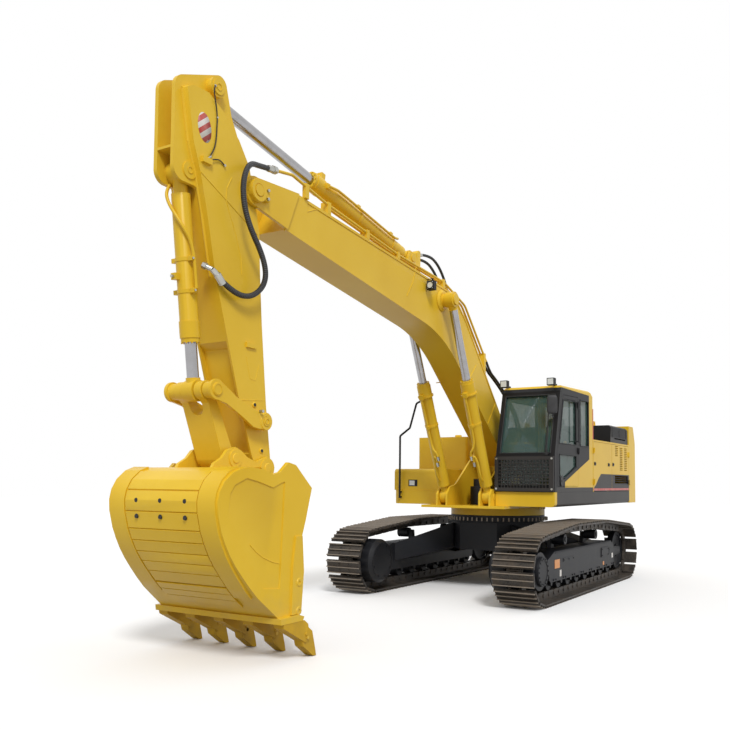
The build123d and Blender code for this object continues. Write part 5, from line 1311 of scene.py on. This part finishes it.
class EXCAVATOR_OT_seat(bpy.types.Operator):
    """Operator's seat with crowned cushions, and lever tops"""

    bl_idname = "excavator.seat"
    bl_label = "Seat"

    def execute(self, context):
        low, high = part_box("operator_seat")
        middle = (low[0] + high[0]) / 2
        cushions = (
            ("seat_cushion", (middle - 0.24, -0.325, 2.015), (middle + 0.24, 0.17, 2.14)),
            ("seat_back", (middle - 0.225, 0.165, 2.14), (middle + 0.225, 0.285, 2.60)),
            ("head_rest", (middle - 0.14, 0.175, 2.63), (middle + 0.14, 0.275, 2.80)),
        )
        for name, corner, far in cushions:
            bm = start()
            bmesh.ops.create_cube(bm, size=1.0)
            bmesh.ops.bevel(bm, geom=bm.edges[:], offset=0.22, segments=2, profile=0.5, affect="EDGES", material=-1, offset_type="OFFSET")
            bmesh.ops.subdivide_edges(bm, edges=bm.edges[:], cuts=2, use_grid_fill=True)
            size = Vector(far) - Vector(corner)
            # Sides pull in between the corners, and the faces crown
            for vert in bm.verts:
                x, y, z = vert.co
                pull = 1 - 0.10 * (1 - (2 * x) ** 2) * (1 - min(1.0, abs(z) * 2)) 
                crown = 1 + 0.10 * (1 - (2 * x) ** 2) * (1 - (2 * y) ** 2)
                vert.co = (x * 0.98, y * pull * 0.98, z * min(1.0, crown * 0.92))
            bmesh.ops.scale(bm, vec=size, verts=bm.verts[:])
            bmesh.ops.translate(bm, vec=(Vector(corner) + Vector(far)) / 2, verts=bm.verts[:])
            piece = finish(name, bm, "upper", "seat_fabric", 0, 80)
            made = piece.modifiers.new("rounding", "SUBSURF")
            made.levels = 1
            made.render_levels = 1
        bm = start()
        block(bm, (middle - 0.15, -0.20, 1.626), (middle + 0.15, 0.12, 1.80))
        block(bm, (middle - 0.11, -0.16, 1.80), (middle + 0.11, 0.08, 1.97))
        block(bm, (middle - 0.20, -0.28, 1.97), (middle + 0.20, 0.16, 2.02))
        block(bm, (middle - 0.06, 0.20, 2.0), (middle + 0.06, 0.28, 2.66))
        piece = finish("seat_pedestal", bm, "upper", "black_plastic", 0.004, 30)
        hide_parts("operator_seat")
        bm = start()
        for x in (middle - 0.33, middle + 0.33):
            bmesh.ops.create_uvsphere(bm, u_segments=16, v_segments=10, radius=0.03, matrix=Matrix.Translation((x, -0.30, 2.36)))
        finish("lever_tops", bm, "upper", "yellow_paint", 0, 40)
        return {"FINISHED"}


class EXCAVATOR_OT_house(bpy.types.Operator):
    """Handles, grilles and caps of the engine house and decks"""

    bl_idname = "excavator.house"
    bl_label = "House"

    def execute(self, context):
        for node, body, sign, places in (
            ("front_left", "service_door_front_left", 1, ((0.80, 2.05), (1.62, 2.05))),
            ("rear_left", "service_door_rear_left", 1, ((1.90, 2.06),)),
            ("right", "service_door_right", -1, ((1.36, 2.05), (1.36, 1.80))),
        ):
            bm = start()
            for y, z in places:
                block(bm, *spread((1.446, y - 0.05, z - 0.03), (1.451, y + 0.05, z + 0.03), sign))
                block(bm, *spread((1.451, y - 0.03, z - 0.012), (1.462, y + 0.03, z + 0.012), sign))
            finish(f"door_latches_{node}", bm, body, "cab_black", 0.002, 30)
        # Hood's side grille: a frame with slanted bars
        bm = start()
        for low, high in (
            ((1.424, 1.90, 2.735), (1.434, 2.86, 2.750)),
            ((1.424, 1.90, 2.565), (1.434, 2.86, 2.580)),
            ((1.424, 1.90, 2.565), (1.434, 1.915, 2.750)),
            ((1.424, 2.37, 2.565), (1.434, 2.39, 2.750)),
            ((1.424, 2.845, 2.565), (1.434, 2.86, 2.750)),
        ):
            block(bm, low, high)
        for index in range(9):
            z = 2.595 + index * 0.0165
            block(bm, (1.4265, 1.91, z), (1.431, 2.85, z + 0.006))
        finish("hood_grille", bm, "hood_lid", "cab_black", 0.001, 30)
        # A dark sheet just behind the bars: painted shade for the opening under the grille.
        bm = start()
        block(bm, (1.4255, 1.905, 2.57), (1.4272, 2.855, 2.745))
        finish("hood_grille_shade_sheet", bm, "hood_lid", "rubber", 0, 30)
        # Filler caps and breather on the tanks, a lamp in the toolbox's end
        bm = start()
        ring(bm, (-0.80, 0.10, 2.50), (0, 0, 1), ((0, -0.002), (0, 0.05), (0.05, 0.05), (0.06, 0.04), (0.06, -0.002)), 28)
        ring(bm, (-1.15, 0.75, 2.50), (0, 0, 1), ((0, -0.002), (0, 0.035), (0.07, 0.035), (0.08, 0.025), (0.08, -0.002)), 28)
        bolts(bm, [(-1.15 + dx, 0.35 + dy, 2.50) for dx in (-0.12, 0.12) for dy in (-0.12, 0.12)], (0, 0, 1))
        block(bm, (-1.30, 0.20, 2.499), (-1.00, 0.50, 2.508))
        finish("tank_caps", bm, "upper", "yellow_paint", 0.002, 30)
        bm = start()
        block(bm, (-1.155, -1.0535, 1.640), (-0.985, -1.0495, 1.750))
        finish("toolbox_lamp_frame", bm, "upper", "cab_black", 0.001, 30)
        bm = start()
        block(bm, (-1.135, -1.0575, 1.655), (-1.035, -1.0530, 1.735))
        finish("toolbox_lamp", bm, "upper", "lens", 0.001, 30)
        return {"FINISHED"}


class EXCAVATOR_PT_panel(bpy.types.Panel):
    """Lists the steps that build the excavator"""

    bl_label = "Excavator"
    bl_idname = "EXCAVATOR_PT_panel"
    bl_space_type = "VIEW_3D"
    bl_region_type = "UI"
    bl_category = "Excavator"

    def draw(self, context):
        for name in STEPS:
            self.layout.operator(f"excavator.{name}")
        for key in ("camera_place", "yaw", "pitch", "roll", "lens", "shift", "sky", "key", "key_from"):
            self.layout.prop(context.scene.excavator_stage, key)
        for key in ("big", "small"):
            self.layout.prop(context.scene.excavator_hoses, key)


SLOT_OF = {s["node"]: s["material_slot"] for s in frame["record"]["subparts"]}
PLAIN_NODES = ("cab_glass", "cab_door_glass")
OWN_NODES = ("front_guard", "track_left", "track_right", "stick_hose", "knee_hose_1", "knee_hose_2", "rear_hose_1", "rear_hose_2", "operator_seat")
FINISHES = {}
STEPS = ("stage", "hoses", "skins", "tracks", "undercarriage", "boom", "cylinders", "stick", "bucket", "cab", "seat", "house")
GROUPS = (("excavator_stage", StageSettings), ("excavator_hoses", HoseSettings))
CLASSES = (
    StageSettings,
    HoseSettings,
    EXCAVATOR_OT_stage,
    EXCAVATOR_OT_hoses,
    EXCAVATOR_OT_skins,
    EXCAVATOR_OT_tracks,
    EXCAVATOR_OT_undercarriage,
    EXCAVATOR_OT_boom,
    EXCAVATOR_OT_cylinders,
    EXCAVATOR_OT_stick,
    EXCAVATOR_OT_bucket,
    EXCAVATOR_OT_cab,
    EXCAVATOR_OT_seat,
    EXCAVATOR_OT_house,
    EXCAVATOR_PT_panel,
)


def paint(node):
    """A CAD node that keeps its own shape gets its finish."""
    mesh = NODES[node].data
    mesh.materials.clear()
    mesh.materials.append(FINISHES[SLOT_OF[node]])


def register():
    for item in CLASSES:
        bpy.utils.register_class(item)
    for name, group in GROUPS:
        setattr(bpy.types.Scene, name, PointerProperty(type=group))


def unregister():
    for name, group in GROUPS:
        delattr(bpy.types.Scene, name)
    for item in reversed(CLASSES):
        bpy.utils.unregister_class(item)


def main():
    register()
    FINISHES.update(build_materials())
    for name in STEPS:
        getattr(bpy.ops.excavator, name)()


if __name__ == "__main__":
    main()
